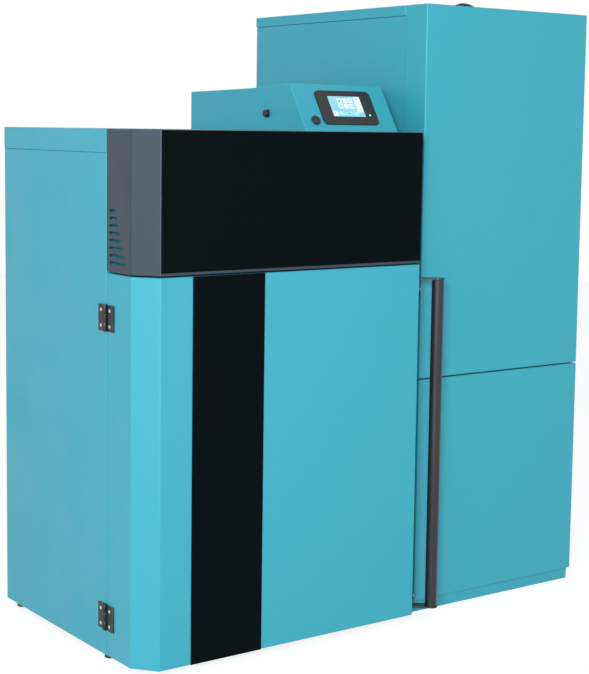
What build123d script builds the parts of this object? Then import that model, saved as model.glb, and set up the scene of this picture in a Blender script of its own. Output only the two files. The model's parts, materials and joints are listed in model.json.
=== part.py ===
from build123d import *
import math
import os

os.makedirs("parts", exist_ok=True)

# Millimetres. X runs to the right, Y to the back and Z up from the floor.

# Casing of the boiler
sheet = 2.0
seat = 0.3
flange = 15.0
boiler_width = 826.0
boiler_depth = 693.0
boiler_height = 1228.0
corner_width = 44.0
corner_depth = 56.0
casing_seam = 163.0
foot_height = 18.0
foot_radius = 14.0
base_height = 42.0
base_bar = 40.0
cover_skirt = 53.0

# Hood over the door
hood_bottom = 908.0
hood_lip = 7.0
hood_plate = 3.0
vent_count = 8
vent_pitch = 16.7
vent_height = 7.0
vent_lowest = 929.5
vent_back = 150.0
vent_shortest = 26.0
vent_longest = 74.0

# Outer door
door_gap = 3.0
door_bottom = 19.0
door_flange = 25.0
strip_left = 126.5
strip_width = 193.5
strip_thickness = 2.0
stiffener_width = 60.0
stiffener_depth = 20.0

# Door hinges
hinge_height = 60.0
hinge_leaf = 3.0
hinge_reach_y = 35.0
hinge_knuckle = 4.5
hinge_pin = 2.2
hinge_running = 0.05
hinge_low = 110.0
hinge_high = 803.0
screw_radius = 2.0
screw_head = 4.0
screw_head_height = 1.6
screw_length = 8.0
screw_clearance = 0.1

# Door handle
handle_standoff = 48.0
handle_radius = 15.0
handle_wall = 2.0
handle_low = 35.0
handle_high = 865.0
handle_plate = 4.0
handle_plate_radius = 17.0
handle_tab = 34.0
handle_tab_thickness = 3.0

# Boiler vessel behind the door
vessel_left = 60.0
vessel_width = 580.0
rear_space = 73.0
vessel_drop = 138.0
vessel_wall = 5.0
water_gap = 60.0
rear_water_gap = 80.0
chamber_low = 330.0
chamber_high = 620.0
ash_low = 90.0
ash_high = 290.0
smoke_height = 130.0
smoke_front_gap = 35.0
smoke_rear_gap = 40.0
throat_width = 240.0
throat_depth = 200.0
tube_radius = 28.0
tube_wall = 3.0
tube_pitch = 95.0
tubes_across = 4
tubes_deep = 3
insulation = 30.0
inner_door_thickness = 34.0

# Flue gas fan at the back
flue_radius = 60.0
flue_drop = 68.0
fan_gap = 7.0
fan_depth = 90.0
fan_wall = 2.5
fan_outer_radius = 112.0
fan_wheel = 76.0
fan_blades = 8
fan_motor_radius = 46.0
fan_motor_length = 70.0
spigot_radius = 65.0
spigot_wall = 2.0
spigot_drop = 23.0

# Water connections at the back
socket_bore = 15.1
socket_radius = 21.0
socket_reach = 22.0
socket_inset = 50.0
return_rise = 70.0
drain_rise = 35.0
socket_collar = 18.0
drain_bore = 9.3
drain_radius = 13.5

# Console on top
console_left = 490.0
console_width = 282.0
console_back = 597.0
console_fold = 319.0
console_back_rise = 98.0
console_fold_rise = 104.0
console_peak_rise = 114.0
console_peak = 152.0
console_front = 80.0
bezel_width = 168.0
bezel_height = 96.0
bezel_corner = 12.0
bezel_thickness = 4.0
bezel_x = 146.0
bezel_down = 68.5
screen_width = 98.0
screen_height = 58.0
screen_down = 65.0
button_radius = 12.0
button_x = 37.4
button_down = 105.8
button_rise = 6.0
button_travel = 1.5
light_radius = 2.5
light_x = 208.6
light_down = 89.9
cap_radius = 10.0
cap_rise = 11.0
cap_y = 241.0
cap_height = 41.7

# Pellet tank
tank_gap = 8.0
tank_width = 562.0
tank_depth = 745.0
tank_height = 1545.0
tank_setback = 52.0
tank_post = 79.0
tank_bottom = 32.0
tank_seam = 607.0
seam_gap = 3.0
tank_corner = 3.0
plinth_inset = 12.0
plinth_side_inset = 2.0
lid_skirt = 26.0
lid_overhang = 1.5
lid_hinge_knuckle = 4.5
lid_hinge_length = 70.0
lid_hinge_inset = 110.0
lid_handle_span = 112.0
lid_handle_rise = 26.0
lid_handle_radius = 5.0
lid_handle_setback = 178.0
hopper_gap = 14.0
hopper_break = 1000.0
outlet_size = 120.0
outlet_z = 640.0

# Screw conveyor from the tank to the burner
feed_y = 400.0
feed_z = 560.0
auger_tube_radius = 38.0
tube_clearance = 4.0
auger_tube_wall = 3.0
auger_radius = 33.0
auger_shaft = 9.0
auger_pitch = 60.0
auger_left = 655.0
auger_right = 1185.0
auger_blade = 3.0
gearbox_size = 90.0
gearbox_length = 70.0
motor_radius = 40.0
motor_length = 95.0

# Burner beside the vessel
burner_x = 690.0
burner_z = 430.0
burner_radius = 58.0
burner_wall = 4.0
burner_box = 120.0
burner_reach = 95.0
drop_radius = 30.0
drop_wall = 3.0
grate_thickness = 6.0
grate_travel = 40.0

# Slots in the rear panel
slot_width = 160.0
slot_height = 6.0
slot_pitch = 16.0
slot_rows = 6
slot_share = 0.39

# The origin lies on the floor under the middle of the whole set.
corner_length = math.hypot(corner_width, corner_depth)
outward_x = corner_depth / corner_length
outward_y = -corner_width / corner_length
hinge_reach = seat + 2 * hinge_knuckle
lid_hinge_reach = lid_overhang + seat + 2 * lid_hinge_knuckle
handle_depth = corner_depth / 2 + handle_standoff * outward_y
width_to_right = boiler_width + tank_gap + tank_width + lid_overhang
fan_back = boiler_depth + fan_gap + fan_depth + fan_motor_length
left = (hinge_reach - width_to_right) / 2
front = (handle_plate_radius - handle_depth - fan_back) / 2

# Main planes
right = left + boiler_width
back = front + boiler_depth
seam = front + casing_seam
panel_front = seam + sheet
skirt_z = boiler_height - cover_skirt
door_back = seam - door_gap
door_top = hood_bottom - door_gap
tank_left = right + tank_gap
tank_right = tank_left + tank_width
tank_front = front + tank_setback
tank_back = tank_front + tank_depth
post_back = tank_front + tank_post
lid_front = post_back + sheet
lid_z = tank_height - lid_skirt
base_low = foot_height + sheet
base_high = foot_height + base_height
vessel_x = left + vessel_left
vessel_right = vessel_x + vessel_width
vessel_back = back - rear_space
vessel_top = boiler_height - vessel_drop
smoke_low = vessel_top - smoke_height
flue_z = vessel_top - flue_drop
spigot_top = boiler_height - spigot_drop
cap_z = boiler_height + cap_height
vessel_mid = (vessel_x + vessel_right) / 2
chamber_left = vessel_x + water_gap
chamber_right = vessel_right - water_gap
chamber_back = vessel_back - rear_water_gap
smoke_front = panel_front + smoke_front_gap
smoke_back = vessel_back - smoke_rear_gap
auger_y = front + feed_y
burner_mid = left + burner_x


def block(x, y, z, mode=Mode.ADD):
    """Box between a low and a high limit on each axis."""
    with Locations((sum(x) / 2, sum(y) / 2, sum(z) / 2)):
        Box(x[1] - x[0], y[1] - y[0], z[1] - z[0], mode=mode)


def rod(axis, across, limits, radius, mode=Mode.ADD):
    """Cylinder along one axis; across holds its two other coordinates in order."""
    middle = sum(limits) / 2
    first, second = across
    spots = {
        "X": ((middle, first, second), (0, 90, 0)),
        "Y": ((first, middle, second), (90, 0, 0)),
        "Z": ((first, second, middle), (0, 0, 0)),
    }
    place, turn = spots[axis]
    with Locations(place):
        Cylinder(radius, limits[1] - limits[0], rotation=turn, mode=mode)


def casing_outline(inset, reach):
    """Plan of the boiler's front casing, set in by a distance and open to the back."""
    side_y = front + corner_depth + inset * (corner_length - corner_depth) / corner_width
    face_x = corner_width + inset * (corner_length - corner_width) / corner_depth
    return [
        (left + inset, reach),
        (left + inset, side_y),
        (left + face_x, front + inset),
        (right - face_x, front + inset),
        (right - inset, side_y),
        (right - inset, reach),
    ]


def casing_prism(inset, reach, limits, mode=Mode.ADD):
    """Upright prism with the plan of the front casing."""
    with BuildSketch(Plane.XY.offset(limits[0])) as plan:
        with BuildLine():
            Polyline(*casing_outline(inset, reach), close=True)
        make_face()
    extrude(plan.sketch, amount=limits[1] - limits[0], mode=mode)


def front_pan(reach, limits, rim):
    """Folded front casing with inward rims at the bottom and the top."""
    beyond = reach + 2 * rim
    casing_prism(0, reach, limits)
    casing_prism(sheet, beyond, (limits[0] + sheet, limits[1] - sheet), Mode.SUBTRACT)


def side_panel(edge, inward):
    """Side sheet folded in at its four edges."""
    inner = edge + inward * sheet
    rim = edge + inward * flange
    tall = (foot_height, skirt_z - seat)
    block(sorted((edge, rim)), (panel_front, back - sheet), tall)
    block(
        sorted((inner, rim)),
        (panel_front + sheet, back - 2 * sheet),
        (tall[0] + sheet, tall[1] - sheet),
        Mode.SUBTRACT,
    )
    block(sorted((edge, inner)), (back - sheet, back), tall)


def hinge_screw_holes(y, radius):
    """Holes through the left side for the screws of both hinges."""
    for middle in (hinge_low, hinge_high):
        for rise in (-screw_spread, screw_spread):
            rod("X", (y, middle + rise), (left - hinge_leaf, left + screw_length), radius, Mode.SUBTRACT)


screw_spread = 0.3 * hinge_height
screw_reach = 0.57 * hinge_reach_y
screw_hole = screw_radius + screw_clearance
hinge_x = left - seat - hinge_knuckle
hinge_y = seam - sheet / 2

# Base and feet
with BuildPart() as base_frame:
    outer_x = (left + sheet, right - sheet)
    outer_y = (panel_front + sheet, back - 2 * sheet)
    between_y = (outer_y[0] + base_bar + seat, outer_y[1] - base_bar - seat)
    tall = (base_low, base_high)
    block(outer_x, (outer_y[0], outer_y[0] + base_bar), tall)
    block(outer_x, (outer_y[1] - base_bar, outer_y[1]), tall)
    for bar_x in (outer_x[0], vessel_x + base_bar, vessel_right - 2 * base_bar, outer_x[1] - base_bar):
        block((bar_x, bar_x + base_bar), between_y, tall)
base_frame.part.label = "base_frame"
export_step(base_frame.part, "parts/base_frame.step")

with BuildPart() as levelling_feet:
    foot_inset = flange + foot_radius + seat
    for foot_x in (left + foot_inset, right - foot_inset):
        for foot_y in (outer_y[0] + foot_inset, outer_y[1] - foot_inset):
            rod("Z", (foot_x, foot_y), (0, 0.6 * foot_height), foot_radius)
            rod("Z", (foot_x, foot_y), (0, base_low), 0.4 * foot_radius)
    foot_edges = levelling_feet.edges().filter_by(GeomType.CIRCLE)
    chamfer(foot_edges.filter_by(lambda e: abs(e.radius - foot_radius) < 0.01), 1.5)
levelling_feet.part.label = "levelling_feet"
export_step(levelling_feet.part, "parts/levelling_feet.step")

# Water jacketed vessel, welded from plates
wall = vessel_wall
wide = (chamber_left, chamber_right)
walled = (chamber_left - wall, chamber_right + wall)
tube_y = (panel_front + chamber_back) / 2
inner_front = panel_front + wall + seat
socket_x = vessel_right - water_gap / 2
drain_x = vessel_x + water_gap / 2
supply_z = vessel_top - socket_inset
return_z = base_high + return_rise
drain_z = base_high + drain_rise


def tube_grid(radius, limits, mode=Mode.ADD):
    """Upright round bars or holes at every flue tube."""
    with Locations((vessel_mid, tube_y, sum(limits) / 2)):
        with GridLocations(tube_pitch, tube_pitch, tubes_across, tubes_deep):
            Cylinder(radius, limits[1] - limits[0], mode=mode)


def side_walls(y, z):
    """Upright plates left and right of a chamber."""
    block((walled[0], wide[0]), y, z)
    block((wide[1], walled[1]), y, z)


def wall_round_burner(x, y, z):
    """Upright wall of four strips that leaves the burner passage free."""
    reach = passage + seat
    level = (burner_z - passage, burner_z + passage)
    block(x, y, (z[0], burner_z - reach))
    block(x, y, (burner_z + reach, z[1]))
    block(x, (y[0], auger_y - reach), level)
    block(x, (auger_y + reach, y[1]), level)


passage = burner_radius + seat + wall


with BuildPart() as boiler_vessel:
    vessel_y = (panel_front, vessel_back)
    vessel_z = (base_high, vessel_top)
    jacket_z = (base_high + wall + seat, vessel_top - wall - seat)
    jacket_x = (vessel_x + wall + seat, vessel_right - wall - seat)
    # Outer jacket
    block((vessel_x, vessel_right), vessel_y, (base_high, base_high + wall))
    block((vessel_x, vessel_right), vessel_y, (vessel_top - wall, vessel_top))
    block((vessel_x, vessel_x + wall), vessel_y, jacket_z)
    wall_round_burner((vessel_right - wall, vessel_right), vessel_y, jacket_z)
    block(jacket_x, (vessel_back - wall, vessel_back), jacket_z)
    # Front round both door openings
    front_y = (panel_front, panel_front + wall)
    block((jacket_x[0], wide[0]), front_y, jacket_z)
    block((wide[1], jacket_x[1]), front_y, jacket_z)
    between = (wide[0] + seat, wide[1] - seat)
    for strip_z in ((jacket_z[0], ash_low), (ash_high, chamber_low), (chamber_high, jacket_z[1])):
        block(between, front_y, strip_z)
    # Ash chamber and combustion chamber
    side_y = (inner_front, chamber_back - seat)
    chamber_y = (inner_front, chamber_back + wall)
    block(walled, chamber_y, (ash_low - wall, ash_low))
    side_walls(side_y, (ash_low + seat, ash_high - seat))
    chamber_z = (chamber_low + seat, chamber_high - seat)
    block((walled[0], wide[0]), side_y, chamber_z)
    wall_round_burner((wide[1], walled[1]), side_y, chamber_z)
    for tall in ((ash_low + seat, ash_high - seat), chamber_z):
        block(walled, (chamber_back, chamber_back + wall), tall)
    block(walled, chamber_y, (chamber_high, chamber_high + wall))
    # Cooled floor round the throat between the chambers
    throat_x = (vessel_mid - throat_width / 2, vessel_mid + throat_width / 2)
    throat_y = (tube_y - throat_depth / 2, tube_y + throat_depth / 2)
    floor_z = (ash_high, chamber_low)
    block((walled[0], throat_x[0]), chamber_y, floor_z)
    block((throat_x[1], walled[1]), chamber_y, floor_z)
    throat_between = (throat_x[0] + seat, throat_x[1] - seat)
    block(throat_between, (chamber_y[0], throat_y[0]), floor_z)
    block(throat_between, (throat_y[1], chamber_y[1]), floor_z)
    # Smoke box
    smoke_y = (smoke_front - wall, smoke_back + wall)
    smoke_z = (smoke_low + seat, jacket_z[1])
    block(walled, smoke_y, (smoke_low - wall, smoke_low))
    side_walls(smoke_y, smoke_z)
    block(between, (smoke_y[0], smoke_front), smoke_z)
    block(between, (smoke_back, smoke_y[1]), smoke_z)
    # Openings for the tubes, the burner, the flue and the water
    block(wide, (smoke_front, smoke_back), (vessel_top - wall, vessel_top), Mode.SUBTRACT)
    tube_hole = tube_radius + tube_wall + seat
    tube_grid(tube_hole, (chamber_high, chamber_high + wall), Mode.SUBTRACT)
    tube_grid(tube_hole, (smoke_low - wall, smoke_low), Mode.SUBTRACT)
    rod("Y", (vessel_mid, flue_z), (smoke_back, vessel_back), flue_radius + wall + seat, Mode.SUBTRACT)
    for outlet in (supply_z, return_z):
        rod("Y", (socket_x, outlet), (vessel_back - wall, vessel_back), socket_bore + 2, Mode.SUBTRACT)
    rod("Y", (drain_x, drain_z), (vessel_back - wall, vessel_back), drain_bore + 2, Mode.SUBTRACT)
    # Passage of the burner and sleeve of the flue
    passage_x = (chamber_right, vessel_right)
    clear = passage - wall
    for side in (-1, 1):
        far = sorted((side * passage, side * clear))
        block(passage_x, (auger_y - passage, auger_y + passage), (burner_z + far[0], burner_z + far[1]))
        inner = clear - seat
        block(passage_x, (auger_y + far[0], auger_y + far[1]), (burner_z - inner, burner_z + inner))
    rod("Y", (vessel_mid, flue_z), (smoke_back, vessel_back), flue_radius + wall)
    rod("Y", (vessel_mid, flue_z), (smoke_back, vessel_back), flue_radius, Mode.SUBTRACT)
boiler_vessel.part.label = "boiler_vessel"
export_step(boiler_vessel.part, "parts/boiler_vessel.step")

with BuildPart() as flue_tubes:
    tube_z = (chamber_high, smoke_low)
    tube_grid(tube_radius + tube_wall, tube_z)
    tube_grid(tube_radius, tube_z, Mode.SUBTRACT)
flue_tubes.part.label = "flue_tubes"
export_step(flue_tubes.part, "parts/flue_tubes.step")

with BuildPart() as vessel_insulation:
    jacket_back = vessel_back + insulation
    block((vessel_x - insulation, vessel_right), (panel_front + flange, jacket_back), vessel_z)
    block((vessel_x, vessel_right), (panel_front, vessel_back), vessel_z, Mode.SUBTRACT)
    rod("Y", (vessel_mid, flue_z), (vessel_back, jacket_back), flue_radius + spigot_wall, Mode.SUBTRACT)
    for outlet in (supply_z, return_z):
        rod("Y", (socket_x, outlet), (vessel_back, jacket_back), socket_radius, Mode.SUBTRACT)
    rod("Y", (drain_x, drain_z), (vessel_back, jacket_back), drain_radius, Mode.SUBTRACT)
vessel_insulation.part.label = "vessel_insulation"
export_step(vessel_insulation.part, "parts/vessel_insulation.step")

# Inner doors, latches and ash box
inner_margin = 25.0
inner_x = (vessel_x + inner_margin, vessel_right - inner_margin)
inner_y = (panel_front - inner_door_thickness, panel_front)
chamber_door_z = (chamber_low - 18, chamber_high + inner_margin)
ash_door_z = (ash_low - 15, ash_high + 12)


def inner_door(tall):
    """Cast inner door with a raised rib frame on its front."""
    block(inner_x, inner_y, tall)
    block(
        (inner_x[0] + 22, inner_x[1] - 22),
        (inner_y[0], inner_y[0] + 10),
        (tall[0] + 22, tall[1] - 22),
        Mode.SUBTRACT,
    )
    middle = sum(tall) / 2
    block((inner_x[0] + 22, inner_x[1] - 22), (inner_y[0] + 2, inner_y[0] + 10), (middle - 8, middle + 8))
    for lug in (tall[0] + 45, tall[1] - 45):
        block((inner_x[0] - 14, inner_x[0]), (inner_y[1] - 16, inner_y[1]), (lug - 14, lug + 14))


with BuildPart() as chamber_door:
    inner_door(chamber_door_z)
chamber_door.part.label = "chamber_door"
export_step(chamber_door.part, "parts/chamber_door.step")

with BuildPart() as ash_door:
    inner_door(ash_door_z)
ash_door.part.label = "ash_door"
export_step(ash_door.part, "parts/ash_door.step")

with BuildPart() as inner_door_latches:
    for tall in (chamber_door_z, ash_door_z):
        middle = sum(tall) / 2
        latch_x = inner_x[1] - 11
        rod("Y", (latch_x, middle), (inner_y[0] - 12, inner_y[0]), 8)
        with BuildSketch(Plane.XZ.offset(-(inner_y[0] - 12))):
            with Locations((latch_x, middle + 30)):
                SlotOverall(84, 16, rotation=90)
        extrude(amount=7)
inner_door_latches.part.label = "inner_door_latches"
export_step(inner_door_latches.part, "parts/inner_door_latches.step")

with BuildPart() as ash_box:
    box_x = (chamber_left + 25, chamber_right - 25)
    box_y = (panel_front + 20, chamber_back - 20)
    box_z = (ash_low, ash_low + 100)
    block(box_x, box_y, box_z)
    block(
        (box_x[0] + sheet, box_x[1] - sheet),
        (box_y[0] + sheet, box_y[1] - sheet),
        (box_z[0] + sheet, box_z[1]),
        Mode.SUBTRACT,
    )
    grip_mid = sum(box_x) / 2
    grip_z = box_z[0] + 60
    block((grip_mid - 60, grip_mid - 52), (box_y[0] - 14, box_y[0]), (grip_z, grip_z + 8))
    block((grip_mid + 52, grip_mid + 60), (box_y[0] - 14, box_y[0]), (grip_z, grip_z + 8))
    block((grip_mid - 60, grip_mid + 60), (box_y[0] - 18, box_y[0] - 12), (grip_z, grip_z + 8))
ash_box.part.label = "ash_box"
export_step(ash_box.part, "parts/ash_box.step")

# Cleaning rods in the flue tubes
beam_low = smoke_low + 15
beam_high = beam_low + 8
lift_radius = 6.0
cover_top = vessel_top + 6
lift_top = cover_top + 50

with BuildPart() as smoke_box_cover:
    block((walled[0] - 15, walled[1] + 15), (smoke_front - 20, smoke_back + 20), (vessel_top, cover_top))
    rod("Z", (vessel_mid, tube_y), (vessel_top, cover_top), lift_radius + hinge_running, Mode.SUBTRACT)
smoke_box_cover.part.label = "smoke_box_cover"
export_step(smoke_box_cover.part, "parts/smoke_box_cover.step")

with BuildPart() as turbulators:
    blade_pitch = (smoke_low - chamber_high) / 5
    with Locations((vessel_mid, tube_y, (chamber_high + 10 + beam_low) / 2)):
        with GridLocations(tube_pitch, tube_pitch, tubes_across, tubes_deep):
            Box(6, 6, beam_low - chamber_high - 10)
    for step in range(5):
        blade_z = chamber_high + 30 + step * blade_pitch
        lean = 45 if step % 2 else -45
        with Locations((vessel_mid, tube_y, blade_z)):
            with GridLocations(tube_pitch, tube_pitch, tubes_across, tubes_deep):
                Box(1.5 * tube_radius, 0.9 * tube_radius, 2, rotation=(lean, 0, 0))
turbulators.part.label = "turbulators"
export_step(turbulators.part, "parts/turbulators.step")

with BuildPart() as turbulator_beam:
    half_x = tube_pitch * (tubes_across - 1) / 2 + 12
    half_y = tube_pitch * (tubes_deep - 1) / 2 + 12
    for row in range(tubes_deep):
        bar_y = tube_y + (row - (tubes_deep - 1) / 2) * tube_pitch
        block((vessel_mid - half_x, vessel_mid + half_x), (bar_y - 10, bar_y + 10), (beam_low, beam_high))
    block((vessel_mid - 14, vessel_mid + 14), (tube_y - half_y, tube_y + half_y), (beam_low, beam_high))
    rod("Z", (vessel_mid, tube_y), (beam_high, lift_top), lift_radius)
turbulator_beam.part.label = "turbulator_beam"
export_step(turbulator_beam.part, "parts/turbulator_beam.step")

with BuildPart() as cleaning_actuator:
    actuator_top = cover_top + 100
    block((vessel_mid - 35, vessel_mid + 35), (tube_y - 30, tube_y + 30), (cover_top, actuator_top))
    block((vessel_mid + 35, vessel_mid + 95), (tube_y - 24, tube_y + 24), (cover_top + 20, cover_top + 70))
    rod("Z", (vessel_mid, tube_y), (cover_top, actuator_top - 10), lift_radius + seat, Mode.SUBTRACT)
    actuator_edges = cleaning_actuator.edges().filter_by(Axis.Z)
    fillet(actuator_edges.group_by(Axis.X)[0], 6)
cleaning_actuator.part.label = "cleaning_actuator"
export_step(cleaning_actuator.part, "parts/cleaning_actuator.step")

# Burner
with BuildPart() as burner_body:
    box_low = burner_z - burner_box / 2
    box_high = burner_z + burner_box / 2
    burner_left = vessel_right - burner_reach - 60
    burner_box_right = burner_mid + burner_box / 2
    plate_half = burner_radius + 25
    rod("X", (auger_y, burner_z), (burner_left, vessel_right), burner_radius)
    block(
        (vessel_right, vessel_right + 6),
        (auger_y - plate_half, auger_y + plate_half),
        (burner_z - plate_half, burner_z + plate_half),
    )
    block((vessel_right, burner_box_right), (auger_y - burner_box / 2, auger_y + burner_box / 2), (box_low, box_high))
    bore_radius = burner_radius - burner_wall
    rod("X", (auger_y, burner_z), (burner_left, vessel_right + 6), bore_radius, Mode.SUBTRACT)
    block(
        (vessel_right + 4, burner_box_right - burner_wall),
        (auger_y - burner_box / 2 + burner_wall, auger_y + burner_box / 2 - burner_wall),
        (box_low + burner_wall, box_high - burner_wall),
        Mode.SUBTRACT,
    )
    rod("Z", (burner_mid, auger_y), (box_high - burner_wall, box_high), drop_radius, Mode.SUBTRACT)
    ledge_z = burner_z - 0.62 * bore_radius
    ledge_half = 0.6 * bore_radius
    for side in (-1, 1):
        ledge = sorted((auger_y + side * (ledge_half - 6), auger_y + side * (ledge_half + 6)))
        block((burner_left, vessel_right), ledge, (ledge_z - 8, ledge_z - seat))
burner_body.part.label = "burner_body"
export_step(burner_body.part, "parts/burner_body.step")

with BuildPart() as burner_grate:
    grate_x = (burner_left + 4, vessel_right + 40)
    block(grate_x, (auger_y - ledge_half - 6, auger_y + ledge_half + 6), (ledge_z, ledge_z + grate_thickness))
    with Locations((burner_left + 55, auger_y, ledge_z + grate_thickness / 2)):
        with GridLocations(16, 14, 5, 3):
            Cylinder(3, grate_thickness, mode=Mode.SUBTRACT)
    block((grate_x[1] - 6, grate_x[1]), (auger_y - 20, auger_y + 20), (ledge_z + grate_thickness, ledge_z + 26))
burner_grate.part.label = "burner_grate"
export_step(burner_grate.part, "parts/burner_grate.step")

# Flue gas duct, fan and spigot behind the rear panel
fan_front = back + fan_gap
fan_rear = fan_front + fan_depth
duct_radius = flue_radius + spigot_wall

with BuildPart() as flue_duct:
    rod("Y", (vessel_mid, flue_z), (vessel_back, fan_front), duct_radius)
    rod("Y", (vessel_mid, flue_z), (back + seat, fan_front), duct_radius + 14)
    rod("Y", (vessel_mid, flue_z), (vessel_back, fan_front), flue_radius, Mode.SUBTRACT)
flue_duct.part.label = "flue_duct"
export_step(flue_duct.part, "parts/flue_duct.step")

outlet_top = flue_z + fan_outer_radius
outlet_left = vessel_mid + 10


with BuildPart() as exhaust_fan_housing:
    with BuildSketch(Plane.XZ.offset(-fan_rear)):
        with Locations((vessel_mid, flue_z)):
            Circle(fan_outer_radius)
        with Locations(((outlet_left + vessel_mid + fan_outer_radius) / 2, (flue_z + outlet_top) / 2)):
            Rectangle(vessel_mid + fan_outer_radius - outlet_left, outlet_top - flue_z)
    extrude(amount=fan_depth)
    with BuildSketch(Plane.XZ.offset(-(fan_rear - fan_wall))):
        with Locations((vessel_mid, flue_z)):
            Circle(fan_outer_radius - fan_wall)
        with Locations(((outlet_left + vessel_mid + fan_outer_radius) / 2, (flue_z + outlet_top) / 2 + 10)):
            Rectangle(
                vessel_mid + fan_outer_radius - outlet_left - 2 * fan_wall,
                outlet_top - flue_z + 20,
            )
    extrude(amount=fan_depth - 2 * fan_wall, mode=Mode.SUBTRACT)
    rod("Y", (vessel_mid, flue_z), (fan_front, fan_front + fan_wall), flue_radius, Mode.SUBTRACT)
    rod("Y", (vessel_mid, flue_z), (fan_rear - fan_wall, fan_rear), 12, Mode.SUBTRACT)
exhaust_fan_housing.part.label = "exhaust_fan_housing"
export_step(exhaust_fan_housing.part, "parts/exhaust_fan_housing.step")

wheel_back = fan_rear - 16
shaft_radius = 5.0

with BuildPart() as exhaust_fan_impeller:
    rod("Y", (vessel_mid, flue_z), (wheel_back - 3, wheel_back), fan_wheel)
    rod("Y", (vessel_mid, flue_z), (wheel_back - 26, wheel_back), 14)
    with BuildSketch(Plane.XZ.offset(-(wheel_back - 3))):
        for step in range(fan_blades):
            turn = 360 / fan_blades * step
            lead = math.radians(turn)
            with Locations((
                vessel_mid + 45 * math.cos(lead),
                flue_z + 45 * math.sin(lead),
            )):
                Rectangle(58, 3, rotation=turn + 22)
    extrude(amount=34)
    rod("Y", (vessel_mid, flue_z), (wheel_back, fan_rear + 20), shaft_radius)
exhaust_fan_impeller.part.label = "exhaust_fan_impeller"
export_step(exhaust_fan_impeller.part, "parts/exhaust_fan_impeller.step")

with BuildPart() as exhaust_fan_motor:
    rod("Y", (vessel_mid, flue_z), (fan_rear, fan_rear + 5), fan_motor_radius + 22)
    rod("Y", (vessel_mid, flue_z), (fan_rear + 5, fan_rear + fan_motor_length), fan_motor_radius)
    for groove in range(4):
        groove_y = fan_rear + 18 + groove * 11
        with BuildSketch(Plane.XZ.offset(-(groove_y + 4))):
            with Locations((vessel_mid, flue_z)):
                Circle(fan_motor_radius)
                Circle(fan_motor_radius - 5, mode=Mode.SUBTRACT)
        extrude(amount=4, mode=Mode.SUBTRACT)
    rod(
        "Y", (vessel_mid, flue_z), (fan_rear, fan_rear + 24),
        shaft_radius + hinge_running, Mode.SUBTRACT,
    )
exhaust_fan_motor.part.label = "exhaust_fan_motor"
export_step(exhaust_fan_motor.part, "parts/exhaust_fan_motor.step")

with BuildPart() as flue_spigot:
    spigot_x = (outlet_left + vessel_mid + fan_outer_radius) / 2
    spigot_y = fan_front + spigot_radius + 1
    throat_x = vessel_mid + fan_outer_radius - outlet_left
    throat_y = (fan_front + fan_rear) / 2
    spigot_low = outlet_top + 26
    with BuildSketch(Plane.XY.offset(outlet_top)):
        with Locations((spigot_x, throat_y)):
            Rectangle(throat_x, fan_depth)
    with BuildSketch(Plane.XY.offset(spigot_low)):
        with Locations((spigot_x, spigot_y)):
            Circle(spigot_radius)
    loft(ruled=True)
    rod("Z", (spigot_x, spigot_y), (spigot_low, spigot_top), spigot_radius)
    with BuildSketch(Plane.XY.offset(outlet_top)):
        with Locations((spigot_x, throat_y)):
            Rectangle(throat_x - 2 * fan_wall, fan_depth - 2 * fan_wall)
    with BuildSketch(Plane.XY.offset(spigot_low)):
        with Locations((spigot_x, spigot_y)):
            Circle(spigot_radius - spigot_wall)
    loft(ruled=True, mode=Mode.SUBTRACT)
    rod("Z", (spigot_x, spigot_y), (spigot_low, spigot_top), spigot_radius - spigot_wall, Mode.SUBTRACT)
flue_spigot.part.label = "flue_spigot"
export_step(flue_spigot.part, "parts/flue_spigot.step")

# Water sockets
socket_end = back + socket_reach

with BuildPart() as heating_sockets:
    for outlet in (supply_z, return_z):
        rod("Y", (socket_x, outlet), (vessel_back, socket_end), socket_radius)
        rod("Y", (socket_x, outlet), (socket_end - socket_collar, socket_end), socket_radius + 4)
        rod("Y", (socket_x, outlet), (vessel_back, socket_end), socket_bore, Mode.SUBTRACT)
heating_sockets.part.label = "heating_sockets"
export_step(heating_sockets.part, "parts/heating_sockets.step")

with BuildPart() as drain_socket:
    rod("Y", (drain_x, drain_z), (vessel_back, socket_end), drain_radius)
    rod("Y", (drain_x, drain_z), (vessel_back, socket_end), drain_bore, Mode.SUBTRACT)
drain_socket.part.label = "drain_socket"
export_step(drain_socket.part, "parts/drain_socket.step")

# Casing panels
with BuildPart() as left_side_panel:
    side_panel(left, 1)
    hinge_screw_holes(hinge_y + screw_reach, screw_hole)
left_side_panel.part.label = "left_side_panel"
export_step(left_side_panel.part, "parts/left_side_panel.step")

tube_pass = auger_tube_radius + tube_clearance


def part_round_auger(x, y):
    """Seams and a square opening that split a side sheet in four round the auger tube."""
    level = (feed_z - tube_pass, feed_z + tube_pass)
    block(x, (auger_y - tube_pass, auger_y + tube_pass), level, Mode.SUBTRACT)
    for height in level:
        block(x, y, (height - seat / 2, height + seat / 2), Mode.SUBTRACT)


with BuildPart() as right_side_panel:
    side_panel(right, -1)
    part_round_auger((right - flange, right), (panel_front, back))
right_side_panel.part.label = "right_side_panel"
export_step(right_side_panel.part, "parts/right_side_panel.step")

gland_radius = 9.0
gland_x = right - 60
gland_z = base_high + 60

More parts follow.
